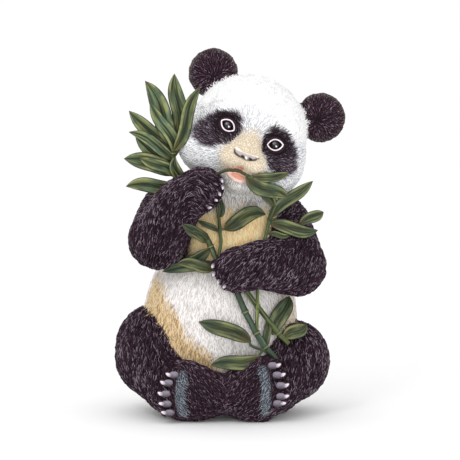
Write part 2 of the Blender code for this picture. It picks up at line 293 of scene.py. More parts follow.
def shell_of(form, low, high, cell):
    """Vertices and quads of the form's skin, one vertex for each grid cell that the skin crosses."""
    axes = [np.arange(a, b + cell, cell) for a, b in zip(low, high)]
    grid = np.stack(np.meshgrid(*axes, indexing="ij"), -1)
    shape = grid.shape[:3]
    value = form(grid.reshape(-1, 3)).reshape(shape)
    total = np.zeros(tuple(n - 1 for n in shape) + (3,))
    count = np.zeros(tuple(n - 1 for n in shape))
    cells = tuple(n - 1 for n in shape)
    crossings = []
    for axis in range(3):
        here = [slice(None)] * 3
        there = [slice(None)] * 3
        here[axis], there[axis] = slice(0, -1), slice(1, None)
        a, b = value[tuple(here)], value[tuple(there)]
        crossed = (a < 0) != (b < 0)
        share = np.where(crossed, a / np.where(crossed, a - b, 1), 0)
        place = grid[tuple(here)].copy()
        place[..., axis] += share * cell
        crossings.append((crossed, a < 0))
        others = [k for k in range(3) if k != axis]
        for i in (0, 1):
            for j in (0, 1):
                window = [slice(None)] * 3
                window[others[0]] = slice(i, i + cells[others[0]])
                window[others[1]] = slice(j, j + cells[others[1]])
                marked = crossed[tuple(window)]
                total += place[tuple(window)] * marked[..., None]
                count += marked
    used = count > 0
    number = np.full(cells, -1)
    number[used] = np.arange(used.sum())
    points = total[used] / count[used][:, None]
    quads = []
    for axis in range(3):
        crossed, inside = crossings[axis]
        u, v = [k for k in range(3) if k != axis]
        index = np.argwhere(crossed)
        index = index[(index[:, u] > 0) & (index[:, v] > 0)]
        index = index[(index[:, u] < shape[u] - 1) & (index[:, v] < shape[v] - 1)]
        ring = []
        for du, dv in ((-1, -1), (0, -1), (0, 0), (-1, 0)):
            spot = index.copy()
            spot[:, u] += du
            spot[:, v] += dv
            ring.append(number[tuple(spot.T)])
        ring = np.stack(ring, 1)
        flip = inside[tuple(index.T)] == (axis == 1)
        ring[flip] = ring[flip][:, ::-1]
        quads.append(ring)
    return points, np.concatenate(quads)


def slope(form, p, reach=0.4):
    """The direction in which the distance grows fastest: outwards from the skin."""
    found = np.zeros_like(p)
    for axis in range(3):
        shift = np.zeros(3)
        shift[axis] = reach
        found[:, axis] = (form(p + shift) - form(p - shift)) / (2 * reach)
    return found


def settled(form, p, rounds):
    """Points moved onto the form's skin."""
    for _ in range(rounds):
        out = slope(form, p)
        p = p - out * (form(p) / np.maximum((out ** 2).sum(1), 0.2))[:, None]
    return p


def edge_pairs(faces):
    return np.unique(np.sort(np.concatenate([faces[:, [k, (k + 1) % faces.shape[1]]]
                                             for k in range(faces.shape[1])]), 1), axis=0)


def evened(p, pairs, share):
    """Points moved a share of the way to the middle of their neighbours."""
    total = np.zeros_like(p)
    count = np.zeros(len(p))
    for a, b in ((0, 1), (1, 0)):
        np.add.at(total, pairs[:, a], p[pairs[:, b]])
        np.add.at(count, pairs[:, a], 1)
    return p + share * (total / count[:, None] - p)


def linked(name, data):
    made = bpy.data.objects.new(name, data)
    bpy.context.scene.collection.objects.link(made)
    return made


def mesh_object(name, points, edges, faces):
    """A linked object whose mesh has the given points in steps."""
    mesh = bpy.data.meshes.new(name)
    mesh.from_pydata((np.array(points, float) * STEP).tolist(), edges, faces)
    mesh.update()
    return linked(name, mesh)


def points_of(mesh):
    flat = np.empty(len(mesh.vertices) * 3)
    mesh.vertices.foreach_get("co", flat)
    return flat.reshape(-1, 3) / STEP


def ease(low, high, x):
    t = np.clip((x - low) / (high - low), 0, 1)
    return t * t * (3 - 2 * t)


SKIN_CELL = 2.4
DETAIL_NEAR = (  # where small forms need a finer skin: round of halving, head or figure place, and reach
    (1, "head", (3, -62, -25), 40),
    (1, "head", (-26, -50, 0), 20),
    (1, "head", (26, -50, 0), 20),
    (1, "figure", (-58, -84, 28), 32),
    (1, "figure", (54, -84, 36), 32),
    (1, "figure", (-8, -84, 228), 22),
    (1, "figure", (-8, -84, 146), 20),
    (2, "head", (3, -62, -31), 28),
    (2, "head", (-25.5, -50, -1), 13),
    (2, "head", (27, -50, -1), 13),
)


def made_finer(mesh, turn_number):
    """Halves the mesh's edges wherever this round asks for it, and moves the new points onto the form."""
    spots = points_of(mesh)
    fine = np.zeros(len(spots), bool)
    for number, where, centre, reach in DETAIL_NEAR:
        if number == turn_number:
            place = head_place(spots) if where == "head" else spots
            fine |= np.linalg.norm(place - np.array(centre), axis=1) < reach
    work = bmesh.new()
    work.from_mesh(mesh)
    work.verts.ensure_lookup_table()
    edges = [e for e in work.edges if fine[e.verts[0].index] and fine[e.verts[1].index]]
    bmesh.ops.subdivide_edges(work, edges=edges, cuts=1, use_grid_fill=True)
    bmesh.ops.triangulate(work, faces=work.faces)
    bmesh.ops.recalc_face_normals(work, faces=work.faces)
    work.to_mesh(mesh)
    work.free()
    found = settled(casting, points_of(mesh), 2)
    found[:, 2] = np.where(found[:, 2] < 0.4, 0, found[:, 2])
    mesh.vertices.foreach_set("co", (found * STEP).ravel())
    return found


low = np.array(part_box("panda_figurine")[0]) / STEP - 6
high = np.array(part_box("panda_figurine")[1]) / STEP + 6
points, quads = shell_of(casting, low, high, SKIN_CELL)
pairs = edge_pairs(quads)
for _ in range(3):
    points = evened(settled(casting, points, 1), pairs, 0.5)
skin = mesh_object("panda", points, [], quads.tolist())
for turn_number in (1, 2):
    points = made_finer(skin.data, turn_number)
skin.data.shade_smooth()
skin.data.update()

# The paint on the casting: a dark wash in the hollows and a dry-brushed coat on what stands out.
# Each place has its two colours and the way its fur lies, kept on the skin for the carved locks to take up.


def srgb(red, green, blue):
    return np.array([((c / 255 + 0.055) / 1.055) ** 2.4 if c > 10 else c / 3294 for c in (red, green, blue)])


COATS = {  # the coat on the ridges, and the wash in the hollows
    "black": (srgb(50, 29, 43), srgb(13, 4, 10)),
    # a lighter black, laid on the soles and the ears
    "lighter black": (srgb(74, 50, 64), srgb(26, 13, 20)),
    "white": (srgb(250, 250, 250), srgb(178, 179, 185)),
    "brow": (srgb(254, 254, 253), srgb(236, 236, 236)),
    "patch": (srgb(78, 66, 75), srgb(30, 20, 27)),
    "lid": (srgb(40, 26, 35), srgb(18, 10, 15)),
    "muzzle": (srgb(248, 240, 222), srgb(196, 180, 156)),
    "throat": (srgb(240, 236, 231), srgb(172, 167, 164)),
    "chest": (srgb(255, 242, 200), srgb(246, 208, 143)),
    "belly": (srgb(243, 240, 238), srgb(202, 196, 193)),
    "ochre": (srgb(226, 200, 152), srgb(164, 132, 84)),
    "fawn": (srgb(224, 206, 176), srgb(168, 142, 110)),
    "ear rim": (srgb(128, 122, 116), srgb(52, 44, 46)),
    "nose": (srgb(174, 164, 160), srgb(124, 114, 112)),
    # a painted highlight, on the nose's upper edge and between the nostrils
    "nose highlight": (srgb(244, 238, 228), srgb(222, 214, 202)),
    # the dark line under the nose: partly its painted outline, partly painted shade beneath the nose
    "line": (srgb(62, 52, 56), srgb(44, 36, 40)),
    "lip": (srgb(244, 210, 194), srgb(224, 168, 148)),
    "tongue": (srgb(222, 158, 136), srgb(176, 100, 84)),
    "band": (srgb(158, 166, 174), srgb(62, 66, 76)),
}


def wobble(p, size, seed):
    """A smooth unevenness between -1 and 1, its waves about the given size."""
    waves = np.random.default_rng(seed)
    found = np.zeros(len(p))
    for _ in range(6):
        direction = waves.normal(size=3)
        direction /= np.linalg.norm(direction)
        pace = 2 * math.pi / size * waves.uniform(0.7, 1.4)
        found += np.sin(p @ direction * pace + waves.uniform(0, 6.3))
    return found / 3


def laid(layers, mask, name):
    """One more colour laid over the coat and the wash where the mask says."""
    coat, wash = COATS[name]
    layers[0] += mask[:, None] * (coat - layers[0])
    layers[1] += mask[:, None] * (wash - layers[1])


def drawn(across, up, *places):
    """Distance, seen from the front, to a line drawn through the places."""
    found = None
    for (x0, z0), (x1, z1) in zip(places, places[1:]):
        dx, dz = x1 - x0, z1 - z0
        share = np.clip(((across - x0) * dx + (up - z0) * dz) / (dx * dx + dz * dz + 1e-9), 0, 1)
        gap = np.hypot(across - x0 - share * dx, up - z0 - share * dz)
        found = gap if found is None else np.minimum(found, gap)
    return found


PATCHES = {-1: (-30.2, -9.2), 1: (33.0, -8.0)}
PATCH_TILT = {-1: 40, 1: 48}
# the dark line along the nose's lower edge: partly its painted outline, partly painted shade beneath the nose
NOSE_OUTLINE_AND_SHADE = ((-8.5, -22.0), (-7.4, -25.4), (-4.4, -26.6), (4.9, -27.5), (9.4, -26.7), (13.6, -24.4),
             (16.2, -21.8))
NOSE_BODY = ((-5.8, -24.2), (4.8, -24.8), (12.6, -23.4))
# the painted highlight along the nose's upper edge
NOSE_HIGHLIGHT = ((-7.8, -22.0), (-0.4, -21.8), (6.1, -21.4), (12.2, -21.2))
OCHRE_LINE = ((-76, 128), (-69, 108), (-56, 87), (-38, 67), (-18, 52))
LEFT_BAND = ((-43, 48), (-45.5, 33), (-43, 11))
RIGHT_BAND = ((37.5, 54), (40, 38), (39.5, 14))


def patch_mask(q, side, rough):
    """The dark patch round an eye: an oval that runs down and outwards."""
    centre = PATCHES[side]
    x, z = side * (q[:, 0] - centre[0]), q[:, 2] - centre[1]
    tilt = math.radians(PATCH_TILT[side])
    along = x * math.cos(tilt) - z * math.sin(tilt)
    across = x * math.sin(tilt) + z * math.cos(tilt)
    inside = np.hypot(along / 25.0, across / 16.3)
    return ease(1.08, 0.92, inside + 0.06 * rough) * ease(-4, -16, q[:, 1])


def painted(p):
    """Coat and wash at each point, how long the fur is there, and which way it lies."""
    q = head_place(p)
    m = masses(p)
    names = list(m)
    nearest = np.argmin(np.stack([m[n] for n in names]), 0)
    on = {n: nearest == k for k, n in enumerate(names)}
    rough = wobble(p, 9, 1)
    slow = wobble(p, 40, 2)
    layers = [np.tile(COATS["white"][0], (len(p), 1)), np.tile(COATS["white"][1], (len(p), 1))]
    x, y, z = p.T
    body = on["torso"] | on["tail"]
    front = ease(4, -20, y)
    laid(layers, body * ease(226, 212, z + 0.4 * y), "belly")
    laid(layers, body * front * ease(146, 160, z + 3 * rough), "chest")
    laid(layers, body * front * ease(200, 214, z + 3 * rough), "throat")
    edge = ease(19, 9, drawn(x, z, *OCHRE_LINE) + 3 * rough + 3 * slow)
    laid(layers, body * edge * front * 0.95, "ochre")
    laid(layers, body * ease(46, 62, x + 2 * rough) * front * ease(136, 110, z) * 0.8, "fawn")
    laid(layers, body * front * ease(52, 38, z + 3 * rough - 0.1 * np.abs(x)) * 0.7, "fawn")
    back = ease(-26, -12, y + 3 * rough)
    laid(layers, on["torso"] * back * ease(150, 158, z + 4 * rough) * ease(226, 216, z + 4 * rough), "black")
    laid(layers, (on["torso"] & (y < -8)) * ease(-30, -40, x) * ease(150, 160, z), "black")
    for name in (*ARMS, *LEGS, "ears"):
        laid(layers, on[name] * 1.0, "black")
    sole = (on["left leg"] | on["right leg"]) & (y < -76)
    band_gap = np.minimum(drawn(x, z, *LEFT_BAND), drawn(x, z, *RIGHT_BAND))
    # a lighter black on the soles and the ears
    laid(layers, sole * 0.6, "lighter black")
    laid(layers, on["ears"] * 0.9, "lighter black")
    band = sole * ease(6.2, 3.4, band_gap + 0.9 * wobble(p, 4, 3))
    laid(layers, band, "band")
    face = on["head"]
    across, deep, up = q.T
    laid(layers, face * ease(2, 20, up + 4 * slow) * ease(-66, -52, deep) * ease(34, 4, deep), "brow")
    patches = np.maximum(patch_mask(q, -1, rough), patch_mask(q, 1, rough))
    laid(layers, face * patches, "patch")
    snout = ease(1.2, 0.8, np.hypot((across - 3) / 24, (up + 25) / 24) + 0.06 * rough) * (deep < -30)
    bridge = ease(1.25, 0.5, np.hypot((across - 3) / 10, (up + 12) / 16)) * (deep < -30)
    cream = np.maximum(snout, bridge) * (1 - patches)
    laid(layers, face * cream * ease(-58, -48, up), "muzzle")
    laid(layers, face * ease(-46, -57, up) * ease(-20, -34, deep), "throat")
    rim = ease(0.72, 0.98, np.hypot(np.abs(across) - EAR_SPREAD, up - 41.3) / 24)
    laid(layers, on["ears"] * rim * 0.8 * (0.6 + 0.4 * slow), "ear rim")
    in_mouth = ease(1.4, -0.2, mouth_hollow(q)) * (deep > -72)
    on_lips = ease(1.0, 0.1, np.abs(lips(q)))
    on_nose = ease(2.4, 1.2, nose(q))
    in_front = face & (deep < -52)
    laid(layers, in_front * on_nose * ease(3.1, 2.2, drawn(across, up, *NOSE_BODY)), "nose")
    # a painted highlight along the nose's upper edge
    laid(layers, in_front * ease(0.9, 0.2, drawn(across, up, *NOSE_HIGHLIGHT)) * 0.5, "nose highlight")
    # the nose's lower edge: partly a painted outline, partly painted shade beneath the nose
    laid(layers, in_front * ease(1.4, 0.3, drawn(across, up, *NOSE_OUTLINE_AND_SHADE)) * 0.9, "line")
    # a small painted highlight between the nostrils
    laid(layers, in_front * ease(1.2, 0.5, drawn(across, up, (4.4, -25.4), (5.6, -26.4))), "nose highlight")
    # the nostrils painted near-black: their own dark paint, and painted shade in the holes
    for place, height in NOSTRILS:
        hole = np.hypot((across - place) / 2.3, (up - height + 0.2 * (across - place)) / 1.3)
        laid(layers, in_front * ease(1.25, 0.7, hole) * 0.9, "lid")
    mouth = np.maximum(in_mouth, on_lips)
    laid(layers, face * mouth, "lip")
    laid(layers, face * mouth * ease(1.0, 0.7, np.hypot((across - 4.2) / 8.2, (up + 45.4) / 3.0)), "tongue")
    bald = np.maximum(np.maximum(ease(1.6, 0.6, nose(q)), mouth), 0) * face
    near_eye = np.zeros(len(p))
    for across_eye, up_eye in EYES.values():
        eye = np.hypot(across - across_eye, (up - up_eye) * 1.2) + ease(-30, -20, deep) * 99
        bald = np.maximum(bald, face * ease(10.4, 9.4, eye))
        near_eye = np.maximum(near_eye, ease(19, 10, eye))
    laid(layers, face * near_eye * patches, "lid")
    length = np.where(face, 0.8, np.where(on["ears"], 0.66, 1.0))
    length = np.where(face, length * (1 - 0.45 * np.maximum(cream, 0)) * (1 - 0.35 * near_eye), length)
    length = np.where(sole, 0.54, length) * (1 - 0.2 * band)
    length = length * (1 - bald)
    claws = [drawn(x, z, place, place) for row in (RAISED_CLAWS, LOWERED_CLAWS, LEFT_TOES, RIGHT_TOES)
             for place in row]
    length = length * np.maximum(ease(2.0, 6.5, np.min(claws, 0)), ease(-70, -50, y))
    length = length * ease(0.5, 2.5, z)
    hand = ease(-44, -30, x)[:, None]
    flow = {
        "head": (q - np.array((2, -70, -24))) @ HEAD_AXES.T,
        "ears": np.where(q[:, :1] > 0, q - np.array((54, 4, 37)), q - np.array((-54, 4, 37))) @ HEAD_AXES.T,
        "torso": np.stack([0.15 * x, 0 * y, -60 + 0 * z], 1),
        "tail": np.stack([0 * x, 0 * y, -1 + 0 * z], 1),
        "raised arm": (1 - hand) * np.stack([12 + 0.3 * (x + 50), -10 + 0 * y, 30 + 0 * z], 1)
        + hand * np.stack([22 + 0 * x, -8 + 0 * y, -20 + 0.6 * (z - 228)], 1),
        "lowered arm": np.stack([-17 + 0.1 * (x - 40), -6 + 0 * y, -26 + 0.2 * (z - 150)], 1),
        "left leg": np.stack([0.4 * (x + 60) + 8, -10 + 0 * y, -26 + 0 * z], 1),
        "right leg": np.stack([0.4 * (x - 55) - 8, -10 + 0 * y, -26 + 0 * z], 1),
    }
    lie = np.zeros_like(p)
    for name, field in flow.items():
        field = field / (np.linalg.norm(field, axis=1)[:, None] + 1e-6)
        lie[on[name]] = field[on[name]]
    region = {
        "on_head": (face & (cream < 0.5)) | on["ears"],
        "on_muzzle": face & (cream >= 0.5),
        "on_torso": body,
        "on_arms": on["raised arm"] | on["lowered arm"],
        "on_legs": on["left leg"] | on["right leg"],
    }
    return layers, length, lie, region


def keep(mesh, name, values):
    """Keeps a number, a vector or a colour for each point of the mesh under the given name."""
    values = np.asarray(values, float)
    if values.ndim == 1:
        mesh.attributes.new(name, "FLOAT", "POINT").data.foreach_set("value", values)
    else:
        mesh.attributes.new(name, "FLOAT_VECTOR", "POINT").data.foreach_set("vector", values.ravel())


layers, length, lie, region = painted(points)
out = slope(casting, points)
out /= np.linalg.norm(out, axis=1)[:, None]
keep(skin.data, "coat", layers[0])
keep(skin.data, "wash", layers[1])
keep(skin.data, "lie", lie)
keep(skin.data, "out", out)
keep(skin.data, "fur", length)
keep(skin.data, "ridge", np.where(length > 0.05, 0.1, 0.85))
keep(skin.data, "tone", np.full(len(points), 0.4))
for name, mask in region.items():
    keep(skin.data, name, mask * ease(0.05, 0.3, length))


def add_node(tree, kind, feeds=None, **settings):
    """A node with its settings. feeds gives its inputs: each a value, or the output it is linked from."""
    made = tree.nodes.new(kind)
    for name, value in settings.items():
        setattr(made, name, value)
    for where, what in (feeds or {}).items():
        if isinstance(what, bpy.types.NodeSocket):
            tree.links.new(what, made.inputs[where])
        else:
            made.inputs[where].default_value = what
    return made


def new_tree(name, kind, inputs, outputs):
    """An empty node group with the given named sockets, and what its inputs bring."""
    tree = bpy.data.node_groups.new(name, kind)
    for side, sockets in (("INPUT", inputs), ("OUTPUT", outputs)):
        for socket, holds in sockets.items():
            tree.interface.new_socket(socket, in_out=side, socket_type="NodeSocket" + holds)
    return tree, add_node(tree, "NodeGroupInput").outputs


def calc(tree, operation, *values):
    return add_node(tree, "ShaderNodeMath", dict(enumerate(values)), operation=operation).outputs[0]


def stepped(tree, value, start, end, low_end=0.0, high_end=1.0):
    """A smooth step of the value, from one number at its start to another at its end."""
    feeds = {"Value": value, "From Min": start, "From Max": end, "To Min": low_end, "To Max": high_end}
    return add_node(tree, "ShaderNodeMapRange", feeds, interpolation_type="SMOOTHSTEP").outputs["Result"]


def mixed(tree, factor, first, second, mode="MIX"):
    feeds = {"Factor": factor, "A": first, "B": second}
    return add_node(tree, "ShaderNodeMix", feeds, data_type="RGBA", blend_type=mode).outputs["Result"]


def noise(tree, vector, scale, detail=2.0):
    feeds = {"Vector": vector, "Scale": scale, "Detail": detail}
    return add_node(tree, "ShaderNodeTexNoise", feeds).outputs[0]


def kept(tree, name, output="Fac"):
    return add_node(tree, "ShaderNodeAttribute", attribute_name=name).outputs[output]


def paint(red, green, blue):
    return (*srgb(red, green, blue), 1.0)


EFFECT = {"Color": "Color", "Roughness": "Float", "Height": "Float"}  # what each shared effect puts out


def brushed_paint():
    """Shared effect: hollows take the wash, ridges the coat, and single strokes a lighter or darker brush."""
    tree, given = new_tree("brushed_paint", "ShaderNodeTree", {
        "Coat": "Color", "Wash": "Color", "Ridge": "Float", "Tone": "Float", "Grain Size": "Float",
        "Drift Size": "Float"}, EFFECT)
    place = add_node(tree, "ShaderNodeTexCoord").outputs["Object"]
    grain = noise(tree, place, calc(tree, "DIVIDE", 1.0, given["Grain Size"]), 3.0)
    drift = noise(tree, place, calc(tree, "DIVIDE", 1.0, given["Drift Size"]), 1.0)
    raised = calc(tree, "MULTIPLY_ADD", grain, 0.55, given["Ridge"])
    share = stepped(tree, raised, 0.42, 1.1)
    body = mixed(tree, share, given["Wash"], given["Coat"])
    keen = calc(tree, "ADD", calc(tree, "MULTIPLY", calc(tree, "POWER", given["Tone"], 2.0), 0.8),
                calc(tree, "MULTIPLY", drift, 0.6))
    top = stepped(tree, calc(tree, "MULTIPLY", given["Ridge"], keen), 0.45, 0.95, 0.0, 0.42)
    light = mixed(tree, 1.0, body, mixed(tree, top, body, paint(214, 198, 212)), "LIGHTEN")
    deep = mixed(tree, 1.0, given["Wash"], given["Wash"], "MULTIPLY")
    fleck = calc(tree, "MULTIPLY", stepped(tree, given["Tone"], 0.2, 0.1, 0.0, 0.8), given["Ridge"])
    feeds = {
        "Color": mixed(tree, fleck, light, deep),
        "Roughness": stepped(tree, share, 0.0, 1.0, 0.78, 0.55),
        "Height": grain,
    }
    add_node(tree, "NodeGroupOutput", feeds)
    return tree


BRUSHED_PAINT = brushed_paint()


def new_paint(name, roughness, gloss):
    """A material with its two even finishes set, its tree, and its shader."""
    made = bpy.data.materials.new(name)
    made.use_nodes = True
    shader = made.node_tree.nodes["Principled BSDF"]
    shader.inputs["Roughness"].default_value = roughness
    shader.inputs["Specular IOR Level"].default_value = gloss
    return made, made.node_tree, shader


def bumped(tree, shader, height, strength, depth):
    made = add_node(tree, "ShaderNodeBump", {"Strength": strength, "Distance": depth, "Height": height})
    tree.links.new(made.outputs[0], shader.inputs["Normal"])


def finished(tree, shader, colour, effect, strength, depth):
    """The shader takes the colour, and the rest of its finish from the shared effect."""
    tree.links.new(colour, shader.inputs["Base Color"])
    tree.links.new(effect["Roughness"], shader.inputs["Roughness"])
    bumped(tree, shader, effect["Height"], strength, depth)


def fur_paint():
    made, tree, shader = new_paint("painted_fur", 0.6, 0.12)
    feeds = {"Coat": kept(tree, "coat", "Color"), "Wash": kept(tree, "wash", "Color"),
             "Ridge": kept(tree, "ridge"), "Tone": kept(tree, "tone"), "Grain Size": 0.0011,
             "Drift Size": 0.03}
    effect = add_node(tree, "ShaderNodeGroup", feeds, node_tree=BRUSHED_PAINT).outputs
    finished(tree, shader, effect["Color"], effect, 0.35, 0.0006)
    return made


painted_fur = fur_paint()
skin.data.materials.append(painted_fur)
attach(skin, "root")
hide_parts("panda_figurine")

# The carved locks: short raised strokes cut into the master all over, each one laid the way the fur grows.
# They are cast with the skin. One tree scatters them over a region of it and presses them onto it.

LOCK_STATIONS = ((0.3, 0.48, 1.0), (0.7, 0.42, 0.85))  # share of length, half width, crest
LOCK_EDGE = -0.3  # how far the lock's edges are sunk, as a share of its height
LOCK_BENDS = (-0.45, -0.15, 0.15, 0.45)


def lock_shape(number, bend):
    """One lock of unit length and width: a low ridge with sunk edges, curved sideways by bend."""
    places = [(0.0, 0.0, LOCK_EDGE, 0.0)]
    for share, half, crest in LOCK_STATIONS:
        side = bend * math.sin(math.pi * share)
        places += [(side - half, share, LOCK_EDGE, 0.0), (side, share, crest, crest),
                   (side + half, share, LOCK_EDGE, 0.0)]
    places.append((-0.8 * bend, 1.0, 0.5, 0.45))
    faces = [(0, 2, 1), (0, 3, 2)]
    for k in range(len(LOCK_STATIONS) - 1):
        a, b = 1 + 3 * k, 4 + 3 * k
        faces += [(a, a + 1, b + 1, b), (a + 1, a + 2, b + 2, b + 1)]
    last = 1 + 3 * (len(LOCK_STATIONS) - 1)
    faces += [(last, last + 1, last + 3), (last + 1, last + 2, last + 3)]
    mesh = bpy.data.meshes.new("lock_%d" % number)
    mesh.from_pydata([(px, py, 0) for px, py, _, _ in places], [], faces)
    keep(mesh, "rise", [row[2] for row in places])
    keep(mesh, "ridge", [row[3] for row in places])
    return bpy.data.objects.new("lock_%d" % number, mesh)


def named(tree, attribute, kind="FLOAT"):
    feeds = {"Name": attribute}
    return add_node(tree, "GeometryNodeInputNamedAttribute", feeds, data_type=kind).outputs["Attribute"]


def chance(tree, low_end, high_end, seed):
    feeds = {2: low_end, 3: high_end, "Seed": seed}
    return add_node(tree, "FunctionNodeRandomValue", feeds, data_type="FLOAT").outputs[1]


def scaled(tree, vector, amount):
    feeds = {0: vector, "Scale": amount}
    return add_node(tree, "ShaderNodeVectorMath", feeds, operation="SCALE").outputs[0]


def added(tree, first, second):
    return add_node(tree, "ShaderNodeVectorMath", {0: first, 1: second}, operation="ADD").outputs[0]


def product(tree, *values):
    found = values[0]
    for value in values[1:]:
        found = calc(tree, "MULTIPLY", found, value)
    return found


def smooth_painted(tree, shape, finish):
    smooth = add_node(tree, "GeometryNodeSetShadeSmooth", {0: shape})
    feeds = {"Geometry": smooth.outputs[0], "Material": finish}
    return add_node(tree, "GeometryNodeSetMaterial", feeds).outputs[0]


def lock_tree():
    tree, given = new_tree("carved_locks", "GeometryNodeTree", {
        "Skin": "Geometry", "Locks": "Collection", "Region": "String", "Spacing": "Float", "Length": "Float",
        "Width": "Float", "Height": "Float", "Stray": "Float", "Seed": "Int", "Paint": "Material"},
        {"Geometry": "Geometry"})
    feeds = {"Mesh": given["Skin"], "Distance Min": given["Spacing"], "Density Max": 8e6,
             "Density Factor": named(tree, given["Region"]), "Seed": given["Seed"]}
    scatter = add_node(tree, "GeometryNodeDistributePointsOnFaces", feeds, distribute_method="POISSON")
    feeds = {"Geometry": scatter.outputs["Points"], "Name": "tone", "Value": chance(tree, 0.0, 1.0, 11)}
    shade = add_node(tree, "GeometryNodeStoreNamedAttribute", feeds, data_type="FLOAT", domain="POINT")
    stray = add_node(tree, "FunctionNodeRandomValue", {0: (-1, -1, -1), 1: (1, 1, 1), "Seed": 12},
                     data_type="FLOAT_VECTOR")
    lean = added(tree, named(tree, "lie", "FLOAT_VECTOR"), scaled(tree, stray.outputs[0], given["Stray"]))
    axes = add_node(tree, "FunctionNodeAxesToRotation", {0: named(tree, "out", "FLOAT_VECTOR"), 1: lean},
                    primary_axis="Z", secondary_axis="Y")
    fur = named(tree, "fur")
    wide = product(tree, given["Width"], chance(tree, 0.75, 1.25, 13), stepped(tree, fur, 0.0, 1.0, 0.3, 1.0))
    long = product(tree, given["Length"], chance(tree, 0.65, 1.3, 14), fur)
    size = add_node(tree, "ShaderNodeCombineXYZ", {0: wide, 1: long, 2: 1.0})
    choice = add_node(tree, "GeometryNodeCollectionInfo",
                      {"Collection": given["Locks"], "Separate Children": True, "Reset Children": True})
    pick = add_node(tree, "FunctionNodeRandomValue", {4: 0, 5: len(LOCK_BENDS) - 1, "Seed": 15},
                    data_type="INT")
    put = add_node(tree, "GeometryNodeInstanceOnPoints",
                   {"Points": shade.outputs[0], "Instance": choice.outputs[0], "Pick Instance": True,
                    "Instance Index": pick.outputs[2], "Rotation": axes.outputs[0], "Scale": size.outputs[0]})
    real = add_node(tree, "GeometryNodeRealizeInstances", {0: put.outputs[0]})
    foot = add_node(tree, "GeometryNodeProximity", {0: given["Skin"]}, target_element="FACES")
    above = add_node(tree, "GeometryNodeSampleNearestSurface",
                     {"Mesh": given["Skin"], "Value": named(tree, "out", "FLOAT_VECTOR")},
                     data_type="FLOAT_VECTOR")
    spot = add_node(tree, "GeometryNodeInputPosition").outputs[0]
    tuft = stepped(tree, noise(tree, spot, 160.0, 1.0), 0.36, 0.66, 0.5, 1.8)
    climb = scaled(tree, above.outputs[0], product(tree, named(tree, "rise"), given["Height"], tuft,
                                                   calc(tree, "SQRT", named(tree, "fur"))))
    lain = add_node(tree, "ShaderNodeSeparateXYZ", {0: added(tree, foot.outputs["Position"], climb)}).outputs
    over_floor = add_node(tree, "ShaderNodeCombineXYZ",
                          {0: lain[0], 1: lain[1], 2: calc(tree, "MAXIMUM", lain[2], 0.0)})
    pressed = add_node(tree, "GeometryNodeSetPosition",
                       {"Geometry": real.outputs[0], "Position": over_floor.outputs[0]})
    add_node(tree, "NodeGroupOutput", {0: smooth_painted(tree, pressed.outputs[0], given["Paint"])})
    return tree


def applied(thing, tree, name, values):
    """A plain mesh object of what the tree makes of the thing with the given named inputs."""
    shaping = thing.modifiers.new(tree.name, "NODES")
    shaping.node_group = tree
    for item in tree.interface.items_tree:
        if item.in_out == "INPUT" and item.name in values:
            shaping[item.identifier] = values[item.name]
    bpy.context.view_layer.update()
    graph = bpy.context.evaluated_depsgraph_get()
    mesh = bpy.data.meshes.new_from_object(thing.evaluated_get(graph))
    mesh.name = name
    thing.modifiers.remove(shaping)
    return linked(name, mesh)


locks = bpy.data.collections.new("locks")
for number, bend in enumerate(LOCK_BENDS):
    locks.objects.link(lock_shape(number, bend))

LOCK_TREE = lock_tree()
LOCK_REGIONS = (  # piece, region of the skin, then spacing, length, width, height in steps, and stray
    ("fur_head", "on_head", 1.3, 6.5, 1.6, 0.7, 0.35),
    ("fur_muzzle", "on_muzzle", 1.1, 4.6, 1.6, 0.35, 0.9),
    ("fur_torso", "on_torso", 1.5, 7.5, 1.7, 0.7, 0.4),
    ("fur_arms", "on_arms", 1.35, 8.0, 1.6, 1.15, 0.4),
    ("fur_legs", "on_legs", 1.4, 9.0, 1.65, 1.2, 0.5),
)
for seed, (name, mask, spacing, long, wide, tall, stray) in enumerate(LOCK_REGIONS):
    fur = applied(skin, LOCK_TREE, name, {
        "Locks": locks, "Region": mask, "Spacing": spacing * STEP, "Length": long * STEP,
        "Width": wide * STEP, "Height": tall * STEP, "Stray": stray, "Seed": seed, "Paint": painted_fur})
    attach(fur, "root")
for lock in list(locks.objects):
    bpy.data.objects.remove(lock)

# The eyes: black glass-like balls of gloss varnish set in the carved lids, each in a pale painted rim, each
# ball with a painted highlight: a soft grey spot up and to the left and a small white dot down and to the
# right.
# The rims are one raised line round each opening, and show the eyes' almond outline.

EYE_RADIUS = 6.4
RIM_RADIUS = 0.68
RIM_POINTS = 48


def sighted(spots, in_head, otherwise):
    """Where lines of sight from straight ahead first meet the skin over each (x, z)."""
    x, z = np.array(spots, float).T
    depth = np.arange(-110, 10, 0.6)
    lines = np.stack(np.broadcast_arrays(x[:, None], depth[None], z[:, None]), -1).reshape(-1, 3)
    value = casting(from_head(lines) if in_head else lines).reshape(len(x), -1)
    first = np.maximum(np.argmax(value < 0, axis=1), 1)
    row = np.arange(len(x))
    a, b = value[row, first - 1], value[row, first]
    y = np.where((value < 0).any(1), depth[first - 1] + 0.6 * a / (a - b + 1e-9), otherwise)
    found = np.column_stack([x, y, z])
    return from_head(found) if in_head else found


PATH_NOTES = ("half_width", "facing", "along", "joint", "tone", "tint", "blade", "shade")


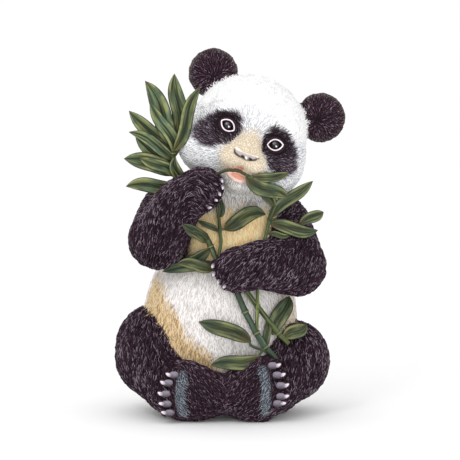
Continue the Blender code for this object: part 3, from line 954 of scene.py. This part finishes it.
def paths_object(name, paths):
    """Lines for the sweep, with what it and the paint need at each point."""
    points, edges = [], []
    notes = {note: [] for note in PATH_NOTES}
    for path in paths:
        first, count = len(points), len(path["points"])
        points += [tuple(point) for point in path["points"]]
        edges += [(first + k, first + k + 1) for k in range(count - 1)]
        if path.get("closed"):
            edges.append((first + count - 1, first))
        for note in PATH_NOTES:
            value = np.asarray(path.get(note, 0.0), float)
            shape = (count, 3) if note == "facing" else (count,)
            notes[note].append(np.broadcast_to(value, shape))
    made = mesh_object(name, points, edges, [])
    for note, values in notes.items():
        values = np.concatenate(values)
        keep(made.data, note, values * STEP if note == "half_width" else values)
    return made


def section_object(name, outline):
    """A closed outline for the sweep: thickness on X, width on Y, and how far across each point lies."""
    mesh = bpy.data.meshes.new(name)
    count = len(outline)
    edges = [(k, (k + 1) % count) for k in range(count)]
    mesh.from_pydata([(thick, wide, 0) for thick, wide, _ in outline], edges, [])
    keep(mesh, "across", [row[2] for row in outline])
    return linked(name, mesh)


def sweep_tree():
    """Sweeps the blade section along the paths marked as blades, and the round one along the others."""
    tree, given = new_tree("swept_paths", "GeometryNodeTree", {
        "Paths": "Geometry", "Blade Section": "Object", "Blade Paint": "Material",
        "Round Section": "Object", "Round Paint": "Material"}, {"Geometry": "Geometry"})
    parted = add_node(tree, "GeometryNodeSeparateGeometry", {0: given["Paths"], 1: named(tree, "blade")},
                      domain="POINT")
    both = add_node(tree, "GeometryNodeJoinGeometry")
    for flow, kind in ((parted.outputs[0], "Blade"), (parted.outputs[1], "Round")):
        path = add_node(tree, "GeometryNodeMeshToCurve", {0: flow})
        path = add_node(tree, "GeometryNodeSetCurveNormal",
                        {0: path.outputs[0], "Normal": named(tree, "facing", "FLOAT_VECTOR")}, mode="FREE")
        section = add_node(tree, "GeometryNodeObjectInfo", {"Object": given[kind + " Section"]})
        outline = add_node(tree, "GeometryNodeMeshToCurve", {0: section.outputs["Geometry"]})
        body = add_node(tree, "GeometryNodeCurveToMesh",
                        {0: path.outputs[0], 1: outline.outputs[0], "Scale": named(tree, "half_width"),
                         "Fill Caps": True})
        real = add_node(tree, "GeometryNodeRealizeInstances", {0: body.outputs[0]})
        tree.links.new(smooth_painted(tree, real.outputs[0], given[kind + " Paint"]), both.inputs[0])
    add_node(tree, "NodeGroupOutput", {0: both.outputs[0]})
    return tree


SWEEP_TREE = sweep_tree()
ROUND_SIDES = 12
round_section = section_object("round_section", [
    (math.cos(math.tau * k / ROUND_SIDES), math.sin(math.tau * k / ROUND_SIDES), 2 * k / ROUND_SIDES - 1)
    for k in range(ROUND_SIDES)])


def eye_varnish():
    made, tree, shader = new_paint("eye_varnish", 0.1, 0.35)
    place = add_node(tree, "ShaderNodeTexCoord").outputs["Object"]
    cloud = noise(tree, place, 300.0, 2.0)
    colour = mixed(tree, stepped(tree, cloud, 0.35, 0.7), paint(6, 3, 6), paint(20, 13, 18))
    # painted highlights on the black: a soft grey spot and a small white dot
    colour = mixed(tree, kept(tree, "soft_painted_highlight"), colour, paint(112, 104, 118))
    colour = mixed(tree, kept(tree, "glint"), colour, paint(240, 238, 244))
    tree.links.new(colour, shader.inputs["Base Color"])
    return made


def rim_paint():
    made, tree, shader = new_paint("eye_rim_paint", 0.45, 0.3)
    place = add_node(tree, "ShaderNodeTexCoord").outputs["Object"]
    cloud = noise(tree, place, 700.0, 2.0)
    colour = mixed(tree, stepped(tree, cloud, 0.3, 0.7), paint(232, 212, 222), paint(250, 243, 247))
    tree.links.new(colour, shader.inputs["Base Color"])
    bumped(tree, shader, cloud, 0.2, 0.0003)
    return made


eye_work = bmesh.new()
rims = []
for side, (across, up) in EYES.items():
    centre = from_head(np.array((across, EYE_DEPTH, up)))
    bmesh.ops.create_uvsphere(eye_work, u_segments=64, v_segments=48, radius=EYE_RADIUS * STEP,
                              matrix=Matrix.Translation(centre * STEP))
    turned = turn(EYE_TILT[side], "Y")
    angles = 2 * math.pi * np.arange(RIM_POINTS) / RIM_POINTS
    wide = (EYE_OPENING[0] + 0.5) * np.cos(angles)
    tall = (EYE_OPENING[1] + 0.5) * np.sin(angles) * np.abs(np.sin(angles)) ** 0.6
    ring = np.column_stack([wide, 0 * wide, tall]) @ turned.T
    ring = sighted(ring[:, [0, 2]] + np.array((across, up)), True, -50.0)
    rims.append({"points": ring, "closed": True, "half_width": RIM_RADIUS, "facing": HEAD_AXES @ (0, -1, 0)})
eye_mesh = bpy.data.meshes.new("eyes")
eye_work.to_mesh(eye_mesh)
eye_work.free()
seen = head_place(points_of(eye_mesh))
# Painted highlights on each ball: a soft grey spot up and to the left, and a small white dot down and to the
# right.
soft_painted_highlight, glint = np.zeros(len(seen)), np.zeros(len(seen))
for across, up in EYES.values():
    right, rise = seen[:, 0] - across, seen[:, 2] - up
    soft_painted_highlight = np.maximum(soft_painted_highlight, ease(2.6, 0.6, np.hypot(right + 1.4, rise - 1.2)) * 0.8)
    glint = np.maximum(glint, ease(1.1, 0.5, np.hypot(right - 1.5, rise + 1.0)))
keep(eye_mesh, "soft_painted_highlight", soft_painted_highlight)
keep(eye_mesh, "glint", glint)
eye_mesh.shade_smooth()
eyes = linked("eyes", eye_mesh)
eyes.data.materials.append(eye_varnish())
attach(eyes, "root")
rim_paths = paths_object("rim_paths", rims)
eye_rims = applied(rim_paths, SWEEP_TREE, "eye_rims",
                   {"Round Section": round_section, "Round Paint": rim_paint()})
bpy.data.objects.remove(rim_paths)
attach(eye_rims, "root")

# The claws and the toe pads: small raised forms modelled on the ends of the fingers and toes.
# They are cast with the body, painted pale and left smooth. One tree sets a shape on each toe or finger.

CLAW_RISE = 0.6
PAD_RISE = 0.1
CLAWS = (  # places of each row, the way that its claws point, their half sizes in steps, and their inset
    (RAISED_CLAWS, ((0.45, -0.9), (0.3, -0.95), (0.6, -0.8), (0.85, -0.5), (1.0, 0.0)), (1.6, 2.6, 1.7), 0.0),
    (LOWERED_CLAWS, ((-0.45, -0.9), (-0.4, -0.9), (-0.5, -0.85), (-0.6, -0.8)), (1.9, 2.9, 2.3), 2.0),
    (LEFT_TOES, ((-0.9, 0.42), (-0.9, 0.45), (-0.9, 0.42), (-1.0, 0.1), (-0.95, 0.2)), (2.0, 3.2, 2.0), 0.9),
    (RIGHT_TOES, ((0.9, 0.45), (0.9, 0.4), (0.88, 0.45), (0.95, 0.3), (1.0, 0.1)), (2.0, 3.2, 2.0), 0.9),
)
PADS = ((LEFT_TOES, 5.8), (RIGHT_TOES, -6.0))  # how far each row's pads lie inwards of its claws
PAD_DROP = 0.6
PAD_HALF_SIZES = (4.6, 3.6, 1.3)


def studs_object(name, spots, reaches, sizes):
    """Points on the skin, with the way each set piece points, the way out, and its size."""
    places = sighted(spots, False, -84.0)
    outward = slope(casting, places)
    outward /= np.linalg.norm(outward, axis=1)[:, None]
    outward = outward + np.array((0, -1.2, 0))
    outward /= np.linalg.norm(outward, axis=1)[:, None]
    made = mesh_object(name, places, [], [])
    keep(made.data, "out", outward)
    keep(made.data, "reach", reaches)
    keep(made.data, "size", np.array(sizes, float) * STEP)
    return made


def stud_tree():
    tree, given = new_tree("set_pieces", "GeometryNodeTree", {
        "Spots": "Geometry", "Shape": "Object", "Rise": "Float", "Paint": "Material"},
        {"Geometry": "Geometry"})
    outward = named(tree, "out", "FLOAT_VECTOR")
    lifted = add_node(tree, "GeometryNodeSetPosition",
                      {"Geometry": given["Spots"], "Offset": scaled(tree, outward, given["Rise"])})
    dots = add_node(tree, "GeometryNodeMeshToPoints", {0: lifted.outputs[0]})
    axes = add_node(tree, "FunctionNodeAxesToRotation",
                    {0: named(tree, "out", "FLOAT_VECTOR"), 1: named(tree, "reach", "FLOAT_VECTOR")},
                    primary_axis="Z", secondary_axis="Y")
    shape = add_node(tree, "GeometryNodeObjectInfo", {"Object": given["Shape"]})
    put = add_node(tree, "GeometryNodeInstanceOnPoints",
                   {"Points": dots.outputs[0], "Instance": shape.outputs["Geometry"],
                    "Rotation": axes.outputs[0], "Scale": named(tree, "size", "FLOAT_VECTOR")})
    real = add_node(tree, "GeometryNodeRealizeInstances", {0: put.outputs[0]})
    add_node(tree, "NodeGroupOutput", {0: smooth_painted(tree, real.outputs[0], given["Paint"])})
    return tree


def unit_shape(name, shaped):
    """A round shape of unit half sizes, moved point by point, with its length kept as a share."""
    work = bmesh.new()
    bmesh.ops.create_icosphere(work, subdivisions=4, radius=1.0)
    shares = [(v.co.y + 1) / 2 for v in work.verts]
    for v in work.verts:
        v.co = shaped(*v.co)
    mesh = bpy.data.meshes.new(name)
    work.to_mesh(mesh)
    work.free()
    keep(mesh, "share", shares)
    return linked(name, mesh)


def claw_form(x, y, z):
    """A claw: broad at its root, drawn in and hooked down at its tip."""
    share = (y + 1) / 2
    narrow = 1 - 0.4 * share ** 1.5
    return x * narrow, y, z * narrow - 0.35 * share ** 2


def pad_form(x, y, z):
    """A toe pad: a plump square with rounded corners."""
    return (math.copysign(abs(x) ** 0.8, x), math.copysign(abs(y) ** 0.85, y), z)


def stud_paint(name, root, tip, gloss):
    """Pale brushed paint that darkens towards the root."""
    made, tree, shader = new_paint(name, 0.4, gloss)
    place = add_node(tree, "ShaderNodeTexCoord").outputs["Object"]
    mottle = noise(tree, place, 900.0, 3.0)
    share = calc(tree, "ADD", kept(tree, "share"), calc(tree, "MULTIPLY_ADD", mottle, 0.9, -0.45))
    tree.links.new(mixed(tree, stepped(tree, share, 0.05, 0.75), paint(*root), paint(*tip)),
                   shader.inputs["Base Color"])
    tree.links.new(stepped(tree, mottle, 0.2, 0.8, 0.34, 0.6), shader.inputs["Roughness"])
    bumped(tree, shader, mottle, 0.25, 0.0004)
    return made


STUD_TREE = stud_tree()
claw_shape = unit_shape("claw_shape", claw_form)
pad_shape = unit_shape("pad_shape", pad_form)
spots, reaches, sizes = [], [], []
for row, ways, size, inset in CLAWS:
    for (x, z), (right, rise) in zip(row, ways):
        spots.append((x - inset * right, z - 0.3 * inset * rise))
        reaches.append((right, 0, rise))
        sizes.append(size)
claw_spots = studs_object("claw_spots", spots, reaches, sizes)
spots, reaches, sizes = [], [], []
for row, inwards in PADS:
    for x, z in row:
        spots.append((x + inwards, z - PAD_DROP))
        reaches.append((0, 0, 1))
        sizes.append(PAD_HALF_SIZES)
pad_spots = studs_object("pad_spots", spots, reaches, sizes)
claw_paint = stud_paint("claw_paint", (118, 106, 120), (228, 218, 227), 0.5)
pad_paint = stud_paint("pad_paint", (48, 40, 50), (122, 114, 127), 0.5)
for name, where, shape, rise, finish in (
        ("claws", claw_spots, claw_shape, CLAW_RISE, claw_paint),
        ("toe_pads", pad_spots, pad_shape, PAD_RISE, pad_paint)):
    made = applied(where, STUD_TREE, name, {"Shape": shape, "Rise": rise * STEP, "Paint": finish})
    bpy.data.objects.remove(where)
    bpy.data.objects.remove(shape)
    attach(made, "root")

# The bamboo: four sprigs cast on their own and glued between the arms, against the cheek and in the mouth.
# Canes are straight from joint to joint, with a raised ring at each.
# Leaves are folded, ribbed blades on thin stalks.

SPRIGS = {  # canes, each with its radius; leaves, each with base, tip, width, bow, sweep and tilt
    "bamboo_top_spray": (
        ((((-40, -36, 222), (-50, -33, 247), (-52, -32, 262), (-51, -31, 278)), 2.4),),
        (((-50, -28, 276), (-51, -22, 340), 17, 3, 3, 10), ((-49, -28, 266), (-80, -24, 333), 20, 3, 3, -14),
         ((-50, -31, 258), (-75, -36, 313), 13, 4, 3, 8), ((-52, -36, 264), (-25, -60, 331), 13, 3, 1, -10),
         ((-50, -27, 264), (-96, -22, 303), 15, 3, -3, 12), ((-50, -30, 254), (-96, -32, 283), 12, 3, 4, 0),
         ((-50, -27, 248), (-90, -20, 279), 13, 2, -3, -8), ((-49, -30, 240), (-101, -28, 256), 18, 4, 4, 10),
         ((-48, -34, 238), (-85, -40, 258), 13, 4, 4, -8), ((-44, -33, 232), (-50, -42, 260), 12, 3, -2, 0),
         ((-47, -30, 228), (-99, -34, 229), 15, 4, 1, 6)),
    ),
    "bamboo_mouth_sprig": (
        ((((-9, -79, 247), (2, -84, 251.6), (12, -84, 250.8), (22, -82, 245.5)), 1.7),
         (((22, -82, 245.5), (36, -67, 227), (47, -50, 212), (43, -44, 198), (38, -50, 176)), 2.0)),
        (((26, -81, 245), (62, -62, 246), 10, 2, 2, 10), ((19, -83, 247), (61, -57, 221), 15, 3, 3, -6),
         ((23, -81, 242), (48, -52, 211), 11, 2, -3, 10), ((43, -44, 198), (86, -38, 235), 13, 2, -3, 8),
         ((43, -45, 194), (91, -38, 186), 14, 3, 3, -10), ((72, -41, 191), (97, -22, 202), 12, 2, -2, 10),
         ((41, -49, 184), (64, -47, 183), 6, 1, 1, 0)),
    ),
    "bamboo_chest_sprig": (
        ((((-21, -58, 185), (-15, -60, 173), (-8, -62, 156), (-4, -64, 146)), 2.9),
         (((-8, -48, 208), (-6, -52, 190), (-5, -54, 176), (-8, -62, 156)), 1.7)),
        (((-2, -51, 188), (39.5, -38, 201.5), 16, 3, -6, 0), ((-7, -49, 200), (-4, -46, 218), 9, 2, 0, 0),
         ((-7, -52, 186), (-28, -54, 198), 6, 2, 1, 0), ((-17, -58, 176), (-44, -78, 198), 11, 2, 2, 0),
         ((-19, -57, 181), (-40, -77, 191), 8, 1, 1, 0), ((-15, -58, 171), (-50, -45, 155), 12, 3, -4, -10),
         ((-12, -58, 157), (-63, -42, 145), 11, 3, 1, 0),
         ((-11, -62, 151), (-48, -63, 156), 12, 3, 2, 0)),
    ),
    "bamboo_lower_canes": (
        ((((7, -66, 138), (19, -69, 109), (30, -69, 88), (39, -66, 73), (50, -63, 60)), 3.1),
         (((31, -64, 134), (31, -68, 112), (30, -69, 90)), 1.9),
         (((18, -66, 132), (31, -65, 114), (52, -59, 86), (62, -56, 75)), 2.7),
         (((25, -69, 75), (40, -67, 69)), 1.4)),
        (((25, -68, 79), (-27, -68, 99), 16, 3, 3, 0), ((35, -72, 65), (-15, -81, 58), 15, 3, -2, 6),
         ((46, -60, 84), (63, -38, 120), 17, 3, -1, 0), ((56, -58, 81), (80, -44, 92), 15, 2, 0, 0),
         ((40, -65, 72), (42, -55, 102), 8, 1, 0, 0)),
    ),
}
CANE_TINTS = {  # 0 is blue-green, 1 is yellow-green, 2 is brown
    "bamboo_top_spray": (0.5,), "bamboo_mouth_sprig": (1.8, 0.6), "bamboo_chest_sprig": (0.45, 0.6),
    "bamboo_lower_canes": (0.0, 1.0, 0.75, 0.1),
}
LEAF_SHADE = {  # how much darker than the top spray each sprig's leaves are
    "bamboo_top_spray": 0.0, "bamboo_mouth_sprig": 0.25, "bamboo_chest_sprig": 0.4,
    "bamboo_lower_canes": 0.35,
}
LEAF_POINTS = 22
LEAF_LEAST_HALF = 0.15
LEAF_FOLD = 0.22
LEAF_CROWN = 0.17
LEAF_TWIST = 22.0
LEAF_WAVE = 0.11
LEAF_BLUNTNESS = 3.2
STALK_RADIUS = 1.15
STALK_SHARE = 0.06
RING_PROFILE = ((-1.6, 1.0), (-0.7, 1.04), (-0.3, 1.2), (0.0, 1.27), (0.25, 1.12), (0.5, 0.95), (1.2, 1.0))


def leaf_section():
    """A blade's outline: two low crowned halves with fine ribs, a fold between them, and a plain back."""
    places = np.linspace(-1, 1, 17)
    top = []
    for a in places:
        crown = LEAF_CROWN * (1 - (2 * abs(a) - 1) ** 2)
        rib = 0.018 * math.cos(a * 8 * math.pi) * (1 - abs(a))
        top.append((LEAF_FOLD * abs(a) + crown + rib + 0.02, float(a), float(a)))
    back = [(LEAF_FOLD * abs(a) - 0.15 * (1 - abs(a)) - 0.02, float(a), float(a)) for a in places[-2:0:-2]]
    return top + back


def leaf_path(base, tip, width, bow, sweep, tilt, tone, tint):
    base, tip = np.array(base, float), np.array(tip, float)
    along = (tip - base) / np.linalg.norm(tip - base)
    face = np.array((0, -1.0, 0)) + along * along[1]
    face /= np.linalg.norm(face)
    face = np.array(Matrix.Rotation(math.radians(tilt), 3, Vector(along))) @ face
    across = np.cross(along, face)
    t = np.linspace(0, 1, LEAF_POINTS)[:, None]
    arch = 4 * t * (1 - t)
    points = base + (tip - base) * t + face * bow * arch + across * sweep * arch
    lean = np.radians(LEAF_TWIST * (tone - 0.5) * (t - 0.4) * 2)
    half = np.maximum(width / 2 * (1 - np.abs(2 * t ** 0.9 - 1) ** LEAF_BLUNTNESS), LEAF_LEAST_HALF)[:, 0]
    wave = np.linalg.norm(tip - base) * LEAF_WAVE * (tone - 0.5) * np.sin(2 * math.pi * t)
    points = points + across * wave
    return {"points": points, "facing": face * np.cos(lean) + across * np.sin(lean), "half_width": half,
            "along": t[:, 0], "tone": tone, "tint": tint, "blade": 1.0}


def cane_path(places, radius, tone, tint):
    """A cane's line with the raised ring at each joint between its ends."""
    places = [np.array(place, float) for place in places]
    points, sizes, rings = [places[0]], [0.9], [0.0]
    for before, joint, after in zip(places, places[1:], places[2:]):
        towards = (after - before) / np.linalg.norm(after - before)
        stout = float(ease(1.6, 2.3, radius))
        for shift, size in RING_PROFILE:
            points.append(joint + towards * shift * radius)
            sizes.append(1 + (size - 1) * (0.4 + 0.6 * stout))
            rings.append(max(0.0, 1 - abs(shift) * 1.1) * stout)
        points.append((joint + after) / 2)
        sizes.append(0.96)
        rings.append(0.0)
    points.append(places[-1])
    sizes.append(0.92)
    rings.append(0.2)
    points = np.array(points)
    run = np.concatenate([[0], np.cumsum(np.linalg.norm(np.diff(points, axis=0), axis=1))])
    return {"points": points, "facing": (0, -1, 0), "half_width": np.array(sizes) * radius, "along": run / 60,
            "joint": np.array(rings), "tone": tone, "tint": tint}


def nearest_on_canes(canes, place):
    """The place on the canes' centre lines that lies nearest to a leaf's base."""
    place = Vector(place)
    found = []
    for places, _ in canes:
        for start, end in zip(places, places[1:]):
            start, end = Vector(start), Vector(end)
            share = intersect_point_line(place, start, end)[1]
            spot = start.lerp(end, min(max(share, 0), 1))
            found.append(((spot - place).length, spot))
    return np.array(min(found, key=lambda pair: pair[0])[1])


def stalk_path(start, end, tone, tint):
    t = np.linspace(0, 1, 6)[:, None]
    points = start + (end - start) * t + np.array((0, -0.8, 0.5)) * 4 * t * (1 - t)
    return {"points": points, "facing": (0, -1, 0), "half_width": STALK_RADIUS * (1.25 - 0.35 * t[:, 0]),
            "along": t[:, 0], "tone": tone, "tint": tint}


def streaked_green():
    """Shared effect: greens drawn out along the piece in fine streaks, over a dry-brushed lighter coat."""
    tree, given = new_tree("streaked_green", "ShaderNodeTree", {
        "Across": "Float", "Along": "Float", "Tone": "Float", "Fineness": "Float", "Dark": "Color",
        "Middle": "Color", "Light": "Color"}, EFFECT)
    place = add_node(tree, "ShaderNodeCombineXYZ", {
        0: calc(tree, "MULTIPLY", given["Across"], given["Fineness"]),
        1: calc(tree, "MULTIPLY", given["Along"], 2.2),
        2: calc(tree, "MULTIPLY", given["Tone"], 37.0)}).outputs[0]
    streak = noise(tree, place, 1.0, 3.0)
    broad = noise(tree, place, 0.35, 1.0)
    body = mixed(tree, stepped(tree, streak, 0.38, 0.6), given["Dark"], given["Middle"])
    sheen = product(tree, stepped(tree, streak, 0.5, 0.74), stepped(tree, broad, 0.35, 0.65, 0.1, 0.7))
    add_node(tree, "NodeGroupOutput", {
        "Color": mixed(tree, sheen, body, given["Light"]),
        "Roughness": stepped(tree, streak, 0.3, 0.7, 0.62, 0.42),
        "Height": streak})
    return tree


STREAKED_GREEN = streaked_green()


def leaf_paint():
    made, tree, shader = new_paint("leaf_paint", 0.5, 0.3)
    across, along, tone, tint = (kept(tree, name) for name in ("across", "along", "tone", "tint"))
    place = add_node(tree, "ShaderNodeTexCoord").outputs["Object"]
    drift = stepped(tree, noise(tree, place, 55.0, 2.0), 0.35, 0.65)
    hue = mixed(tree, 0.6, tint, drift)
    middle = mixed(tree, hue, paint(66, 92, 70), paint(104, 108, 58))
    light = mixed(tree, hue, paint(126, 148, 116), paint(164, 166, 104))
    feeds = {"Across": across, "Along": along, "Tone": tone, "Fineness": 4.5, "Dark": paint(44, 52, 34),
             "Middle": middle, "Light": light}
    effect = add_node(tree, "ShaderNodeGroup", feeds, node_tree=STREAKED_GREEN).outputs
    off = calc(tree, "ABSOLUTE", across)
    rim = product(tree, stepped(tree, off, 0.5, 0.75), stepped(tree, drift, 0.0, 1.0, 0.15, 0.7))
    colour = mixed(tree, rim, effect["Color"], light)
    colour = mixed(tree, kept(tree, "shade"), colour, paint(40, 44, 30))
    rib = stepped(tree, off, 0.12, 0.03, 0.0, 0.85)
    colour = mixed(tree, rib, colour, paint(28, 30, 18))
    edge = stepped(tree, off, 0.82, 0.95, 0.0, 0.9)
    colour = mixed(tree, edge, colour, paint(34, 30, 20))
    ends = calc(tree, "MAXIMUM", stepped(tree, along, 0.3, 0.02, 0.0, 0.6),
                stepped(tree, along, 0.92, 1.0, 0.0, 0.7))
    colour = mixed(tree, ends, colour, paint(76, 62, 32))
    finished(tree, shader, colour, effect, 0.5, 0.0006)
    return made


def cane_paint():
    made, tree, shader = new_paint("cane_paint", 0.5, 0.3)
    across, along, tone, tint = (kept(tree, name) for name in ("across", "along", "tone", "tint"))
    middle = mixed(tree, tint, paint(62, 84, 66), paint(104, 116, 56))
    light = mixed(tree, tint, paint(104, 130, 106), paint(152, 162, 96))
    feeds = {"Across": across, "Along": along, "Tone": tone, "Fineness": 4.0, "Dark": paint(42, 50, 34),
             "Middle": middle, "Light": light}
    effect = add_node(tree, "ShaderNodeGroup", feeds, node_tree=STREAKED_GREEN).outputs
    colour = mixed(tree, stepped(tree, tint, 1.0, 2.0, 0.0, 0.75), effect["Color"], paint(58, 50, 28))
    ring = kept(tree, "joint")
    colour = mixed(tree, stepped(tree, ring, 0.0, 0.45, 0.0, 0.6), colour, paint(44, 46, 28))
    colour = mixed(tree, stepped(tree, ring, 0.6, 0.95, 0.0, 0.65), colour, paint(136, 142, 92))
    finished(tree, shader, colour, effect, 0.4, 0.0005)
    return made


blade_section = section_object("blade_section", leaf_section())
greens = {"Blade Section": blade_section, "Blade Paint": leaf_paint(), "Round Section": round_section,
          "Round Paint": cane_paint()}
shades = np.random.default_rng(7)
for name, (canes, leaves) in SPRIGS.items():
    paths = []
    for (places, radius), tint in zip(canes, CANE_TINTS[name]):
        paths.append(cane_path(places, radius, shades.uniform(), tint))
    for leaf in leaves:
        tone, tint = shades.uniform(), shades.uniform()
        paths.append({**leaf_path(*leaf, tone, tint), "shade": LEAF_SHADE[name]})
        base, tip = np.array(leaf[0], float), np.array(leaf[1], float)
        paths.append(stalk_path(nearest_on_canes(canes, base), base + (tip - base) * STALK_SHARE, tone, 0.4))
    lines = paths_object(name + "_paths", paths)
    sprig = applied(lines, SWEEP_TREE, name.replace("bamboo", "painted"), greens)
    bpy.data.objects.remove(lines)
    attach(sprig, "root")
    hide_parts(name)
for section in (blade_section, round_section):
    bpy.data.objects.remove(section)

# Studio: a pale floor, soft light from above and both sides, and the camera where the photographer stood.

PHOTO_SIZE = 460
CAMERA_DISTANCE = 4.0
CAMERA_RISE = math.radians(8.0)
SENSOR_WIDTH = 36.0
FLOOR_HALF = 6000
STUDIO_LIGHT = 1.08
LAMPS = (("key", (-0.7, -1.1, 1.2), 0.5, 5), ("fill", (0.3, -1.6, 0.3), 0.4, 5))  # place, size and power
camera_data = bpy.data.cameras.new("camera")
camera_data.sensor_width = SENSOR_WIDTH
camera_data.lens = SENSOR_WIDTH * CAMERA_DISTANCE / (PHOTO_SIZE * STEP)
camera = linked("camera", camera_data)
aim = Vector((4.0, 0, 179 / math.cos(CAMERA_RISE))) * STEP
camera.location = aim + CAMERA_DISTANCE * Vector((0, -math.cos(CAMERA_RISE), math.sin(CAMERA_RISE)))
camera.rotation_euler = (math.pi / 2 - CAMERA_RISE, 0, 0)
bpy.context.scene.camera = camera

corners = [(x * FLOOR_HALF, y * FLOOR_HALF, 0) for x, y in ((-1, -1), (1, -1), (1, 1), (-1, 1))]
floor = mesh_object("floor", corners, [], [(0, 1, 2, 3)])
pale, _, pale_shader = new_paint("pale_floor", 0.8, 0.3)
pale_shader.inputs["Base Color"].default_value = (0.93, 0.93, 0.93, 1)
floor.data.materials.append(pale)

world = bpy.data.worlds.new("studio")
world.use_nodes = True
sky = world.node_tree.nodes["Background"].inputs
sky["Color"].default_value = (1, 1, 1, 1)
sky["Strength"].default_value = STUDIO_LIGHT
bpy.context.scene.world = world
for name, place, size, power in LAMPS:
    lamp = bpy.data.lights.new(name, "AREA")
    lamp.size = size
    lamp.energy = power
    lamp_object = linked(name, lamp)
    lamp_object.location = place
    lamp_object.rotation_euler = (Vector((0, 0, 0.2)) - Vector(place)).to_track_quat("-Z", "Y").to_euler()
bpy.context.scene.view_settings.view_transform = "Standard"
